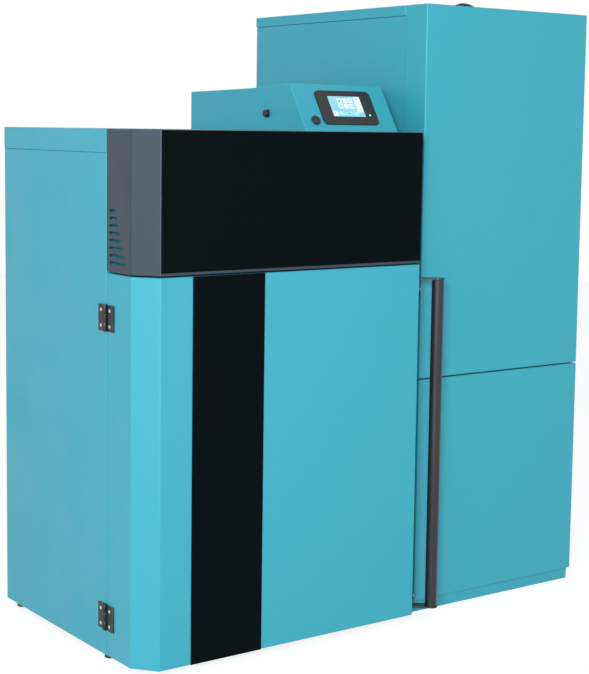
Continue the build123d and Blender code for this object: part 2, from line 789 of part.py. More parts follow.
with BuildPart() as rear_panel:
    rear_y = (back - sheet, back)
    block((left + sheet, right - sheet), rear_y, (foot_height, skirt_z - seat))
    rod("Y", (vessel_mid, flue_z), rear_y, duct_radius + 1, Mode.SUBTRACT)
    for outlet in (supply_z, return_z):
        rod("Y", (socket_x, outlet), rear_y, socket_radius + 5, Mode.SUBTRACT)
    rod("Y", (drain_x, drain_z), rear_y, drain_radius + 1, Mode.SUBTRACT)
    rod("Y", (gland_x, gland_z), rear_y, gland_radius, Mode.SUBTRACT)
    for row in range(slot_rows):
        with Locations(((left + right) / 2, back - sheet / 2, slot_share * boiler_height + slot_pitch * row)):
            Box(slot_width, sheet, slot_height, mode=Mode.SUBTRACT)
rear_panel.part.label = "rear_panel"
export_step(rear_panel.part, "parts/rear_panel.step")

with BuildPart() as cable_gland:
    rod("Y", (gland_x, gland_z), (back - sheet - 8, back), gland_radius)
    with BuildSketch(Plane.XZ.offset(-(back + 7))):
        with Locations((gland_x, gland_z)):
            RegularPolygon(13, 6)
    extrude(amount=7)
    rod("Y", (gland_x, gland_z), (back + 7, back + 17), 10)
    rod("Y", (gland_x, gland_z), (back - sheet - 8, back + 17), 4.5, Mode.SUBTRACT)
cable_gland.part.label = "cable_gland"
export_step(cable_gland.part, "parts/cable_gland.step")

with BuildPart() as top_cover:
    block((left, right), (panel_front, back), (skirt_z, boiler_height))
    block(
        (left + sheet, right - sheet),
        (panel_front, back - sheet),
        (skirt_z, boiler_height - sheet),
        Mode.SUBTRACT,
    )
top_cover.part.label = "top_cover"
export_step(top_cover.part, "parts/top_cover.step")

with BuildPart() as front_frame:
    frame_edge = 0.5
    block(
        (left + frame_edge, right - frame_edge),
        (seam, panel_front),
        (foot_height, boiler_height - sheet - seat),
    )
    block(
        (inner_x[0] - 16, inner_x[1] + 6),
        (seam, panel_front),
        (ash_door_z[0] - 6, chamber_door_z[1] + 6),
        Mode.SUBTRACT,
    )
    block((left + 120, right - 120), (seam, panel_front), (hood_bottom + 50, skirt_z), Mode.SUBTRACT)
front_frame.part.label = "front_frame"
export_step(front_frame.part, "parts/front_frame.step")

# Hood with graded vent slots in both sides
with BuildPart() as hood_frame:
    front_pan(seam, (hood_bottom, boiler_height), door_flange)
    casing_prism(door_flange, seam + door_flange, (hood_bottom, hood_bottom + sheet), Mode.SUBTRACT)
    for step in range(vent_count):
        share = step / (vent_count - 1)
        vent_length = vent_longest + (vent_shortest - vent_longest) * share
        vent_y = front + vent_back - vent_length / 2
        with BuildSketch(Plane.YZ.offset(left)):
            with Locations((vent_y, vent_lowest + step * vent_pitch)):
                SlotOverall(vent_length, vent_height)
        extrude(amount=boiler_width, mode=Mode.SUBTRACT)
hood_frame.part.label = "hood_frame"
export_step(hood_frame.part, "parts/hood_frame.step")

with BuildPart() as hood_front_plate:
    block(
        (left + corner_width, right - corner_width),
        (front - hood_plate, front),
        (hood_bottom + hood_lip, boiler_height - 1),
    )
    plate_edges = hood_front_plate.edges().filter_by(Axis.Z).group_by(Axis.Y)[0]
    chamfer(plate_edges, 0.7 * hood_plate)
hood_front_plate.part.label = "hood_front_plate"
export_step(hood_front_plate.part, "parts/hood_front_plate.step")

# Control console
slope = math.atan2(console_peak - console_front, console_peak_rise)
console_right = console_left + console_width
panel_plane = Plane(
    origin=(left + console_left, front + console_peak, boiler_height + console_peak_rise),
    x_dir=(1, 0, 0),
    z_dir=(0, -math.cos(slope), math.sin(slope)),
)
fold = front + console_fold

with BuildPart() as control_housing:
    with BuildSketch(Plane.YZ.offset(left + console_left)):
        with BuildLine():
            Polyline(
                (fold, boiler_height),
                (fold, boiler_height + console_fold_rise),
                (front + console_back, boiler_height + console_back_rise),
                (front + console_back, boiler_height),
                close=True,
            )
        make_face()
    extrude(amount=console_width)
    with BuildSketch(Plane.YZ.offset(left + console_left + sheet)):
        with BuildLine():
            Polyline(
                (fold - sheet, boiler_height),
                (fold - sheet, boiler_height + console_fold_rise - sheet),
                (front + console_back - sheet, boiler_height + console_back_rise - sheet),
                (front + console_back - sheet, boiler_height),
                close=True,
            )
        make_face()
    extrude(amount=console_width - 2 * sheet, mode=Mode.SUBTRACT)
control_housing.part.label = "control_housing"
export_step(control_housing.part, "parts/control_housing.step")


def console_side(inset, behind):
    """Side outline of the sloping console, set in by the sheet."""
    lean = inset / math.cos(slope)
    drop = inset * (1 - math.sin(slope)) / math.cos(slope)
    return [
        (front + console_front + lean, boiler_height),
        (front + console_peak + drop, boiler_height + console_peak_rise - inset),
        (fold + behind, boiler_height + console_fold_rise - inset),
        (fold + behind, boiler_height),
    ]


with BuildPart() as console_cover:
    with BuildSketch(Plane.YZ.offset(left + console_left)):
        with BuildLine():
            Polyline(*console_side(0, -seat), close=True)
        make_face()
    extrude(amount=console_width)
    with BuildSketch(Plane.YZ.offset(left + console_left + sheet)):
        with BuildLine():
            Polyline(*console_side(sheet, sheet), close=True)
        make_face()
    extrude(amount=console_width - 2 * sheet, mode=Mode.SUBTRACT)
    with BuildSketch(panel_plane):
        with Locations((button_x, -button_down)):
            Circle(button_radius - 3 + hinge_running)
    extrude(amount=-2 * sheet, mode=Mode.SUBTRACT)
console_cover.part.label = "console_cover"
export_step(console_cover.part, "parts/console_cover.step")

with BuildPart() as display_bezel:
    with BuildSketch(panel_plane):
        with Locations((bezel_x, -bezel_down)):
            RectangleRounded(bezel_width, bezel_height, bezel_corner)
        with Locations((bezel_x, -screen_down)):
            Rectangle(screen_width + 2 * seat, screen_height + 2 * seat, mode=Mode.SUBTRACT)
        with Locations((light_x, -light_down)):
            Circle(light_radius + 0.1, mode=Mode.SUBTRACT)
    extrude(amount=bezel_thickness)
display_bezel.part.label = "display_bezel"
export_step(display_bezel.part, "parts/display_bezel.step")

with BuildPart() as display_screen:
    with BuildSketch(panel_plane):
        with Locations((bezel_x, -screen_down)):
            Rectangle(screen_width, screen_height)
    extrude(amount=bezel_thickness - 0.8)
display_screen.part.label = "display_screen"
export_step(display_screen.part, "parts/display_screen.step")

with BuildPart() as status_light:
    with BuildSketch(panel_plane):
        with Locations((light_x, -light_down)):
            Circle(light_radius)
    extrude(amount=bezel_thickness + 0.6)
status_light.part.label = "status_light"
export_step(status_light.part, "parts/status_light.step")

with BuildPart() as power_button:
    with BuildSketch(panel_plane.offset(button_travel + seat)):
        with Locations((button_x, -button_down)):
            Circle(button_radius)
    extrude(amount=button_rise - button_travel - seat)
    with BuildSketch(panel_plane.offset(-8)):
        with Locations((button_x, -button_down)):
            Circle(button_radius - 3)
    extrude(amount=8 + button_travel + seat)
power_button.part.label = "power_button"
export_step(power_button.part, "parts/power_button.step")

with BuildPart() as thermostat_cap:
    cap_left = left + console_left
    with BuildSketch(Plane.YZ.offset(cap_left)):
        with Locations((front + cap_y, cap_z)):
            Circle(cap_radius)
    with BuildSketch(Plane.YZ.offset(cap_left - cap_rise)):
        with Locations((front + cap_y, cap_z)):
            Circle(0.84 * cap_radius)
    loft(ruled=True)
thermostat_cap.part.label = "thermostat_cap"
export_step(thermostat_cap.part, "parts/thermostat_cap.step")

# Outer door
with BuildPart() as outer_door:
    front_pan(door_back, (door_bottom, door_top), door_flange)
    for rim_z in (door_bottom, door_top - sheet):
        casing_prism(door_flange, door_back + door_flange, (rim_z, rim_z + sheet), Mode.SUBTRACT)
    hinge_screw_holes(hinge_y - screw_reach, screw_hole)
outer_door.part.label = "outer_door"
export_step(outer_door.part, "parts/outer_door.step")

with BuildPart() as door_strip:
    strip_x = (left + strip_left, left + strip_left + strip_width)
    block(strip_x, (front - strip_thickness, front), (door_bottom, door_top))
    chamfer(door_strip.edges().filter_by(Axis.Z).group_by(Axis.Y)[0], 0.7 * strip_thickness)
door_strip.part.label = "door_strip"
export_step(door_strip.part, "parts/door_strip.step")

catch_z = (door_top + door_bottom) / 2
magnet_front = seam - 15

with BuildPart() as door_stiffeners:
    for start in (left + 200, right - 200 - stiffener_width):
        tall = (door_bottom + 3 * sheet, door_top - 3 * sheet)
        wide_x = (start, start + stiffener_width)
        block(wide_x, (front + sheet, front + sheet + stiffener_depth), tall)
        block(
            (wide_x[0] + sheet, wide_x[1] - sheet),
            (front + sheet, front + stiffener_depth),
            tall,
            Mode.SUBTRACT,
        )
    block(
        (right - 2 * sheet, right - sheet),
        (magnet_front - 32, magnet_front - seat),
        (catch_z - 30, catch_z + 30),
    )
    block(
        (right - 36, right - sheet),
        (magnet_front - sheet - seat, magnet_front - seat),
        (catch_z - 30, catch_z + 30),
    )
door_stiffeners.part.label = "door_stiffeners"
export_step(door_stiffeners.part, "parts/door_stiffeners.step")

with BuildPart() as door_magnet:
    block((right - 34, right - 10), (magnet_front, seam), (catch_z - 25, catch_z + 25))
door_magnet.part.label = "door_magnet"
export_step(door_magnet.part, "parts/door_magnet.step")

# Handle on the sloped right corner of the door
corner_mid = (right - corner_width / 2, front + corner_depth / 2)


def corner_plane(height):
    """Level plane on the middle of the right corner, with X pointing away from it."""
    return Plane(origin=(*corner_mid, height), x_dir=(outward_x, outward_y, 0), z_dir=(0, 0, 1))


with BuildPart() as handle_tube:
    with BuildSketch(corner_plane(handle_low)):
        with Locations((handle_standoff, 0)):
            Circle(handle_radius)
            Circle(handle_radius - handle_wall, mode=Mode.SUBTRACT)
    extrude(amount=handle_high - handle_low)
handle_tube.part.label = "handle_tube"
export_step(handle_tube.part, "parts/handle_tube.step")

screw_z_low = handle_low + handle_tab - 10
screw_z_high = handle_high - handle_tab + 10

with BuildPart() as handle_brackets:
    for plate_z, tab_z in (
        (handle_low - handle_plate, handle_low - handle_plate),
        (handle_high, handle_high + handle_plate - handle_tab),
    ):
        with BuildSketch(corner_plane(plate_z)):
            with Locations((handle_standoff / 2, 0)):
                Rectangle(handle_standoff, 2 * handle_radius)
            with Locations((handle_standoff, 0)):
                Circle(handle_plate_radius)
        extrude(amount=handle_plate)
        with BuildSketch(corner_plane(tab_z)):
            with Locations((handle_tab_thickness / 2, 0)):
                Rectangle(handle_tab_thickness, 2 * handle_radius)
        extrude(amount=handle_tab)
    for height in (screw_z_low, screw_z_high):
        with BuildSketch(Plane(origin=(*corner_mid, height), z_dir=(outward_x, outward_y, 0))):
            Circle(screw_hole)
        extrude(amount=handle_tab_thickness, mode=Mode.SUBTRACT)
handle_brackets.part.label = "handle_brackets"
export_step(handle_brackets.part, "parts/handle_brackets.step")

# Hinges on the left seam
def hinge_leaves(side, own, gap_radius):
    """Leaves on one side of the hinge line; own lists the knuckle shares they carry."""
    for middle in (hinge_low, hinge_high):
        low = middle - hinge_height / 2
        clear = hinge_knuckle + 2 * seat
        leaf_y = sorted((hinge_y + side * clear, hinge_y + side * hinge_reach_y))
        block((left - hinge_leaf, left), leaf_y, (low, low + hinge_height))
        for start, end in own:
            reach = (low + start * hinge_height + seat / 2, low + end * hinge_height - seat / 2)
            rod("Z", (hinge_x, hinge_y), reach, hinge_knuckle)
            block((left - hinge_leaf, left), sorted((hinge_y, hinge_y + side * clear)), reach)
            rod("Z", (hinge_x, hinge_y), reach, gap_radius, Mode.SUBTRACT)


body_shares = ((0, 1 / 3), (2 / 3, 1))
door_shares = ((1 / 3, 2 / 3),)

with BuildPart() as body_hinge_leaves:
    hinge_leaves(1, body_shares, hinge_pin)
    hinge_screw_holes(hinge_y + screw_reach, screw_hole)
body_hinge_leaves.part.label = "body_hinge_leaves"
export_step(body_hinge_leaves.part, "parts/body_hinge_leaves.step")

with BuildPart() as door_hinge_leaves:
    hinge_leaves(-1, door_shares, hinge_pin + hinge_running)
    hinge_screw_holes(hinge_y - screw_reach, screw_hole)
door_hinge_leaves.part.label = "door_hinge_leaves"
export_step(door_hinge_leaves.part, "parts/door_hinge_leaves.step")

with BuildPart() as hinge_pins:
    for middle in (hinge_low, hinge_high):
        half = hinge_height / 2
        rod("Z", (hinge_x, hinge_y), (middle - half, middle + half), hinge_pin)
        rod("Z", (hinge_x, hinge_y), (middle + half, middle + half + 2), hinge_knuckle)
hinge_pins.part.label = "hinge_pins"
export_step(hinge_pins.part, "parts/hinge_pins.step")


def hinge_screws(y):
    """Pan head screws of both hinges along one vertical row."""
    for middle in (hinge_low, hinge_high):
        for rise in (-screw_spread, screw_spread):
            face = left - hinge_leaf
            rod("X", (y, middle + rise), (face - screw_head_height, face), screw_head)
            rod("X", (y, middle + rise), (face, face + screw_length), screw_radius)


with BuildPart() as body_hinge_screws:
    hinge_screws(hinge_y + screw_reach)
body_hinge_screws.part.label = "body_hinge_screws"
export_step(body_hinge_screws.part, "parts/body_hinge_screws.step")

with BuildPart() as door_screws:
    hinge_screws(hinge_y - screw_reach)
    for height in (screw_z_low, screw_z_high):
        base = Plane(origin=(*corner_mid, height), z_dir=(outward_x, outward_y, 0))
        with BuildSketch(base):
            Circle(screw_radius)
        extrude(amount=handle_tab_thickness)
        with BuildSketch(base.offset(handle_tab_thickness)):
            Circle(screw_head)
        extrude(amount=screw_head_height)
door_screws.part.label = "door_screws"
export_step(door_screws.part, "parts/door_screws.step")

# Tank casing
with BuildPart() as tank_plinth:
    plinth_x = (tank_left + plinth_side_inset, tank_right - plinth_side_inset)
    plinth_y = (tank_front + plinth_inset, tank_back - plinth_inset)
    plinth_top = (tank_bottom - sheet, tank_bottom)
    upright = (0, tank_bottom - sheet)
    for edge, inward in ((plinth_y[0], 1), (plinth_y[1], -1)):
        block(plinth_x, sorted((edge, edge + inward * sheet)), upright)
        block(plinth_x, sorted((edge, edge + inward * base_bar)), plinth_top)
    rail_y = (plinth_y[0] + base_bar + seat, plinth_y[1] - base_bar - seat)
    for edge, inward in ((plinth_x[0], 1), (plinth_x[1], -1)):
        block(sorted((edge, edge + inward * sheet)), rail_y, upright)
        block(sorted((edge, edge + inward * base_bar)), rail_y, plinth_top)
tank_plinth.part.label = "tank_plinth"
export_step(tank_plinth.part, "parts/tank_plinth.step")

with BuildPart() as tank_casing:
    shell_y = (lid_front, tank_back)
    block((tank_left, tank_right), shell_y, (tank_bottom, lid_z))
    block(
        (tank_left + sheet, tank_right - sheet),
        (lid_front, tank_back - sheet),
        (tank_bottom + sheet, lid_z - sheet),
        Mode.SUBTRACT,
    )
    block(
        (tank_left + flange, tank_right - flange),
        (lid_front, tank_back - flange),
        (tank_bottom, lid_z),
        Mode.SUBTRACT,
    )
    left_x = (tank_left, tank_left + flange)
    corner_seam = tank_back - flange
    part_round_auger(left_x, (lid_front, corner_seam))
    block(left_x, (corner_seam - seat, corner_seam), (tank_bottom, lid_z), Mode.SUBTRACT)
tank_casing.part.label = "tank_casing"
export_step(tank_casing.part, "parts/tank_casing.step")


def tank_front_hollow(low, high):
    """Hollow out the folded front sheet between two heights."""
    block(
        (tank_left + sheet, tank_right - sheet),
        (tank_front + sheet, lid_front),
        (low, high),
        Mode.SUBTRACT,
    )


with BuildPart() as tank_front_upper:
    upper_low = tank_seam + seam_gap / 2
    block((tank_left, tank_right), (tank_front, lid_front - seat), (upper_low, tank_height))
    fillet(tank_front_upper.edges().filter_by(Axis.Z).group_by(Axis.Y)[0], tank_corner)
    tank_front_hollow(upper_low, tank_height - sheet)
tank_front_upper.part.label = "tank_front_upper"
export_step(tank_front_upper.part, "parts/tank_front_upper.step")

with BuildPart() as tank_front_lower:
    lower_high = tank_seam - seam_gap / 2
    block((tank_left, tank_right), (tank_front, lid_front - seat), (tank_bottom, lower_high))
    fillet(tank_front_lower.edges().filter_by(Axis.Z).group_by(Axis.Y)[0], tank_corner)
    tank_front_hollow(tank_bottom, lower_high)
tank_front_lower.part.label = "tank_front_lower"
export_step(tank_front_lower.part, "parts/tank_front_lower.step")

# Hopper inside the tank
tank_mid = (tank_left + tank_right) / 2
hopper_x = (tank_left + hopper_gap + sheet, tank_right - hopper_gap - sheet)
hopper_y = (lid_front + hopper_gap, tank_back - hopper_gap - sheet)
rim_top = tank_height - sheet - seat


hopper_rim = 10.0


def funnel_sheet(top_x, top_y, low_x, low_y):
    """Sloping sheet between a narrow strip at the shoulder and one at the mouth."""
    with BuildSketch(Plane.XY.offset(hopper_break)) as shoulder:
        with Locations((sum(top_x) / 2, sum(top_y) / 2)):
            Rectangle(top_x[1] - top_x[0], top_y[1] - top_y[0])
    with BuildSketch(Plane.XY.offset(outlet_z)) as mouth:
        with Locations((sum(low_x) / 2, sum(low_y) / 2)):
            Rectangle(low_x[1] - low_x[0], low_y[1] - low_y[0])
    loft([shoulder.sketch.face(), mouth.sketch.face()], ruled=True)


with BuildPart() as tank_hopper:
    mouth_x = (tank_mid - outlet_size / 2, tank_mid + outlet_size / 2)
    mouth_y = (auger_y - outlet_size / 2, auger_y + outlet_size / 2)
    wall_z = (hopper_break + seat, rim_top)
    rim_z = (lid_z, lid_z + sheet)
    lap = sheet + seat
    hopper_between = (hopper_y[0] + lap, hopper_y[1] - lap)
    mouth_between = (mouth_y[0] + lap, mouth_y[1] - lap)
    for end, inward in ((0, 1), (1, -1)):
        edge = hopper_y[end]
        lip = mouth_y[end]
        strip = sorted((edge, edge + inward * sheet))
        block(hopper_x, strip, wall_z)
        block(hopper_x, sorted((edge - inward * hopper_rim, edge + inward * sheet)), rim_z)
        funnel_sheet(hopper_x, strip, mouth_x, sorted((lip, lip + inward * sheet)))
        edge = hopper_x[end]
        lip = mouth_x[end]
        strip = sorted((edge, edge + inward * sheet))
        block(strip, hopper_between, wall_z)
        block(sorted((edge - inward * hopper_rim, edge + inward * sheet)), hopper_between, rim_z)
        funnel_sheet(strip, hopper_between, sorted((lip, lip + inward * sheet)), mouth_between)
tank_hopper.part.label = "tank_hopper"
export_step(tank_hopper.part, "parts/tank_hopper.step")

# Lid, its handle and hinges
with BuildPart() as tank_lid:
    lid_x = (tank_left - lid_overhang, tank_right + lid_overhang)
    lid_y = (lid_front + seat, tank_back + lid_overhang)
    block(lid_x, lid_y, (lid_z + seat, tank_height))
    block(
        (lid_x[0] + sheet, lid_x[1] - sheet),
        (lid_y[0] + sheet, lid_y[1] - sheet),
        (lid_z, tank_height - sheet),
        Mode.SUBTRACT,
    )
tank_lid.part.label = "tank_lid"
export_step(tank_lid.part, "parts/tank_lid.step")

with BuildPart() as lid_handle:
    grip_y = tank_front + lid_handle_setback
    half_span = lid_handle_span / 2
    crest = tank_height + lid_handle_rise - lid_handle_radius
    with BuildLine() as arch:
        ThreePointArc(
            (tank_mid - half_span, grip_y, tank_height - 4),
            (tank_mid, grip_y, crest),
            (tank_mid + half_span, grip_y, tank_height - 4),
        )
    with BuildSketch(Plane(origin=arch.line @ 0, z_dir=arch.line % 0)):
        Circle(lid_handle_radius)
    sweep()
    for foot_x in (tank_mid - half_span, tank_mid + half_span):
        rod("Z", (foot_x, grip_y), (tank_height, tank_height + 4), 1.8 * lid_handle_radius)
    block(
        (tank_mid - lid_handle_span, tank_mid + lid_handle_span),
        (grip_y - 20, grip_y + 20),
        (tank_height - 20, tank_height),
        Mode.SUBTRACT,
    )
lid_handle.part.label = "lid_handle"
export_step(lid_handle.part, "parts/lid_handle.step")

lid_hinge_y = tank_back + lid_overhang + seat + lid_hinge_knuckle
lid_hinge_z = lid_z
lid_hinge_spots = (tank_left + lid_hinge_inset, tank_right - lid_hinge_inset)

with BuildPart() as tank_hinge_leaves:
    for spot in lid_hinge_spots:
        half = lid_hinge_length / 2
        block((spot - half, spot + half), (tank_back, tank_back + 2), (lid_z - 40, lid_z - 6))
        for share in (-1, 1):
            reach = sorted((spot + share * half / 3 + share * seat / 2, spot + share * half))
            block(reach, (tank_back, lid_hinge_y), (lid_z - 12, lid_z - 8))
            block(reach, (lid_hinge_y - 2, lid_hinge_y + 2), (lid_z - 12, lid_z))
            rod("X", (lid_hinge_y, lid_hinge_z), reach, lid_hinge_knuckle)
        rod("X", (lid_hinge_y, lid_hinge_z), (spot - half, spot + half), hinge_pin)
tank_hinge_leaves.part.label = "tank_hinge_leaves"
export_step(tank_hinge_leaves.part, "parts/tank_hinge_leaves.step")

with BuildPart() as lid_hinge_leaves:
    for spot in lid_hinge_spots:
        half = lid_hinge_length / 2
        lid_face = tank_back + lid_overhang
        block((spot - half, spot + half), (lid_face, lid_face + 2), (lid_z + 7, tank_height - 3))
        reach = (spot - half / 3 + seat / 2, spot + half / 3 - seat / 2)
        block(reach, (lid_face, lid_hinge_y), (lid_z + 7, lid_z + 11))
        block(reach, (lid_hinge_y - 2, lid_hinge_y + 2), (lid_z, lid_z + 11))
        rod("X", (lid_hinge_y, lid_hinge_z), reach, lid_hinge_knuckle)
        rod("X", (lid_hinge_y, lid_hinge_z), reach, hinge_pin + hinge_running, Mode.SUBTRACT)
lid_hinge_leaves.part.label = "lid_hinge_leaves"
export_step(lid_hinge_leaves.part, "parts/lid_hinge_leaves.step")

# Screw conveyor
conveyor_left = left + auger_left
conveyor_right = left + auger_right
tube_inner = auger_tube_radius - auger_tube_wall

with BuildPart() as auger_tube:
    chute = outlet_size / 2
    chute_inner = chute - auger_tube_wall
    # Drop pipe to the burner and chute below the hopper
    rod("Z", (burner_mid, auger_y), (box_high, feed_z), drop_radius + drop_wall)
    rod("Z", (burner_mid, auger_y), (box_high, box_high + 4), drop_radius + 14)
    block(
        (tank_mid - chute, tank_mid + chute),
        (auger_y - auger_tube_radius, auger_y + auger_tube_radius),
        (feed_z, outlet_z - 4),
    )
    block(
        (tank_mid - chute - 12, tank_mid + chute + 12),
        (auger_y - chute - 12, auger_y + chute + 12),
        (outlet_z - 4, outlet_z),
    )
    rod("Z", (burner_mid, auger_y), (box_high, feed_z), drop_radius, Mode.SUBTRACT)
    chute_x = (tank_mid - chute_inner, tank_mid + chute_inner)
    chute_y = (auger_y - tube_inner + auger_tube_wall, auger_y + tube_inner - auger_tube_wall)
    block(chute_x, chute_y, (feed_z, outlet_z), Mode.SUBTRACT)
    rod("X", (auger_y, feed_z), (conveyor_left, conveyor_right), auger_tube_radius + seat, Mode.SUBTRACT)
    # Tube with its bearing plates
    rod("X", (auger_y, feed_z), (conveyor_left, conveyor_right), auger_tube_radius)
    block(
        (conveyor_right - 6, conveyor_right),
        (auger_y - gearbox_size / 2, auger_y + gearbox_size / 2),
        (feed_z - gearbox_size / 2, feed_z + gearbox_size / 2),
    )
    rod("X", (auger_y, feed_z), (conveyor_left + 4, conveyor_right - 6), tube_inner, Mode.SUBTRACT)
    rod("X", (auger_y, feed_z), (conveyor_left, conveyor_right), auger_shaft + hinge_running, Mode.SUBTRACT)
    tube_top = feed_z + auger_tube_radius
    rod("Z", (burner_mid, auger_y), (feed_z - auger_tube_radius, feed_z), drop_radius, Mode.SUBTRACT)
    block(chute_x, chute_y, (feed_z, tube_top), Mode.SUBTRACT)
auger_tube.part.label = "auger_tube"
export_step(auger_tube.part, "parts/auger_tube.step")

with BuildPart() as auger_screw:
    screw_start = conveyor_left + 12
    flight_length = auger_right - auger_left - 30
    flight_root = auger_shaft - 3
    flight_middle = (auger_radius + flight_root) / 2
    with BuildLine() as coil:
        Helix(auger_pitch, flight_length, flight_middle, center=(screw_start, auger_y, feed_z), direction=(1, 0, 0))
    start = coil.line @ 0
    outwards = (start - Vector(screw_start, auger_y, feed_z)).normalized()
    with BuildSketch(Plane(origin=start, x_dir=outwards, z_dir=coil.line % 0)):
        Rectangle(auger_radius - flight_root, auger_blade)
    sweep(is_frenet=True)
    rod("X", (auger_y, feed_z), (conveyor_left, conveyor_right + 30), auger_shaft)
auger_screw.part.label = "auger_screw"
export_step(auger_screw.part, "parts/auger_screw.step")

with BuildPart() as auger_gear_motor:
    half = gearbox_size / 2
    block(
        (conveyor_right, conveyor_right + gearbox_length),
        (auger_y - half, auger_y + half),
        (feed_z - half, feed_z + half),
    )
    fillet(auger_gear_motor.edges().filter_by(Axis.X), 8)
    motor_start = conveyor_right + gearbox_length
    rod("X", (auger_y, feed_z), (motor_start, motor_start + motor_length), motor_radius)
    rod(
        "X", (auger_y, feed_z), (conveyor_right, conveyor_right + 32),
        auger_shaft + hinge_running, Mode.SUBTRACT,
    )
auger_gear_motor.part.label = "auger_gear_motor"
export_step(auger_gear_motor.part, "parts/auger_gear_motor.step")
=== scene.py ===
import json
import logging
import math
from dataclasses import dataclass, field
from enum import Enum
from typing import Iterable, Optional, Sequence

import bmesh
import bpy
from mathutils import Matrix, Vector

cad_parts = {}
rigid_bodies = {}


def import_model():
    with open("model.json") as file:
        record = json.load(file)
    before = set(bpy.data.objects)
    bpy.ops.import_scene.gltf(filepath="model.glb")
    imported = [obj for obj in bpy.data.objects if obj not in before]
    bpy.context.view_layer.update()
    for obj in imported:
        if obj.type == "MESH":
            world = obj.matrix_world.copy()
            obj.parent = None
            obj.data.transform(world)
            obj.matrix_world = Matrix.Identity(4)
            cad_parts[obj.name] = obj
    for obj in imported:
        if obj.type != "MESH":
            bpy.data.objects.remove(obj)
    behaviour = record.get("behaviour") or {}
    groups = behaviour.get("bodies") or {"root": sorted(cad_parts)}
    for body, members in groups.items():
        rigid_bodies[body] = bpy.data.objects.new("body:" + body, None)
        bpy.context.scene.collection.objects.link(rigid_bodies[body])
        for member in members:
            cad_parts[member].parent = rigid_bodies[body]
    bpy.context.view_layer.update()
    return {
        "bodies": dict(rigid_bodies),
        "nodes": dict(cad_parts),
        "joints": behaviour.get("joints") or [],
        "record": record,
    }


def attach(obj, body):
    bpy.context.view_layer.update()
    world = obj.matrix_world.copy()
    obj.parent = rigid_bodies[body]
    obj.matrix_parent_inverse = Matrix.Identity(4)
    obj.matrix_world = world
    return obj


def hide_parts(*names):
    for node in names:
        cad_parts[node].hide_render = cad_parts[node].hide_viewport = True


log = logging.getLogger("pellet_boiler")
MM = 0.001
ROOT_BODY = "boiler_and_tank"
SAME_WAY = 0.999
Point = tuple[float, float]
Span = tuple[float, float]
Triple = tuple[float, float, float]


class Axis(Enum):
    """Axis of the row frame along which a shape is drawn out."""

    X = 0
    Y = 1
    Z = 2


class Coat(Enum):
    """Kind of surface that a finish gives."""

    POWDER = "powder"
    SMOOTH = "smooth"
    BRUSHED = "brushed"
    CAST = "cast"
    WOOL = "wool"


# Shader node groups


class GroupBuilder:
    """Builds one shader node group with named sockets."""

    def __init__(self, name: str) -> None:
        """Start an empty group.

        Args:
            name: Name of the group.
        """
        self.tree = bpy.data.node_groups.new(name, "ShaderNodeTree")
        self.source = self.tree.nodes.new("NodeGroupInput")
        self.sink = self.tree.nodes.new("NodeGroupOutput")

    def socket(self, name: str, kind: str, way: str, value: Optional[float] = None) -> None:
        """Add one interface socket.

        Args:
            name: Socket name.
            kind: Socket type name, such as NodeSocketFloat.
            way: INPUT or OUTPUT.
            value: Default of a float input.
        """
        made = self.tree.interface.new_socket(name=name, in_out=way, socket_type=kind)
        if value is not None:
            made.default_value = value

    def node(self, kind: str, **settings: object) -> bpy.types.Node:
        """Add a node with settings and input defaults.

        Args:
            kind: Node type name.
            settings: Attributes; a name starting with in_ sets that input's default.

        Returns:
            The new node.
        """
        return add_node(self.tree, kind, **settings)

    def link(self, start: bpy.types.NodeSocket, end: bpy.types.NodeSocket) -> None:
        """Join two sockets."""
        self.tree.links.new(start, end)


def add_node(tree: bpy.types.NodeTree, kind: str, **settings: object) -> bpy.types.Node:
    """Add a node to a tree.

    Args:
        tree: Tree that gets the node.
        kind: Node type name.
        settings: Attributes; in_0 style names set an input by its number.

    Returns:
        The new node.
    """
    made = tree.nodes.new(kind)
    for key, value in settings.items():
        if key.startswith("in_"):
            made.inputs[int(key[3:])].default_value = value
        else:
            setattr(made, key, value)
    return made


def mix_colours(
    tree: bpy.types.NodeTree, share: bpy.types.NodeSocket, first: "Triple | bpy.types.NodeSocket",
    second: Triple,
) -> bpy.types.NodeSocket:
    """Mix two colours by a share.

    Args:
        tree: Tree that gets the mixer.
        share: Socket that gives the second colour's share.
        first: First colour, or a socket that gives it.
        second: Second colour.

    Returns:
        The mixed colour's socket.
    """
    mixer = add_node(tree, "ShaderNodeMix", data_type="RGBA", in_7=(*second, 1.0))
    tree.links.new(share, mixer.inputs["Factor"])
    if isinstance(first, bpy.types.NodeSocket):
        tree.links.new(first, mixer.inputs[6])
    else:
        mixer.inputs[6].default_value = (*first, 1.0)
    return mixer.outputs[2]


def stretched(
    tree: bpy.types.NodeTree, source: bpy.types.NodeSocket, low: float, high: float,
) -> bpy.types.NodeSocket:
    """Map a value between two limits to the range from zero to one.

    Args:
        tree: Tree that gets the node.
        source: Socket of the value.
        low: Value that becomes zero.
        high: Value that becomes one.

    Returns:
        The mapped value's socket.
    """
    made = add_node(tree, "ShaderNodeMapRange", in_1=low, in_2=high)
    tree.links.new(source, made.inputs["Value"])
    return made.outputs[0]


def product(
    tree: bpy.types.NodeTree, first: bpy.types.NodeSocket, second: bpy.types.NodeSocket,
    clamp: bool = False,
) -> bpy.types.NodeSocket:
    """Multiply two values.

    Args:
        tree: Tree that gets the node.
        first: Socket of the first value.
        second: Socket of the second value.
        clamp: Whether the product is held between zero and one.

    Returns:
        The product's socket.
    """
    made = add_node(tree, "ShaderNodeMath", operation="MULTIPLY", use_clamp=clamp)
    tree.links.new(first, made.inputs[0])
    tree.links.new(second, made.inputs[1])
    return made.outputs[0]


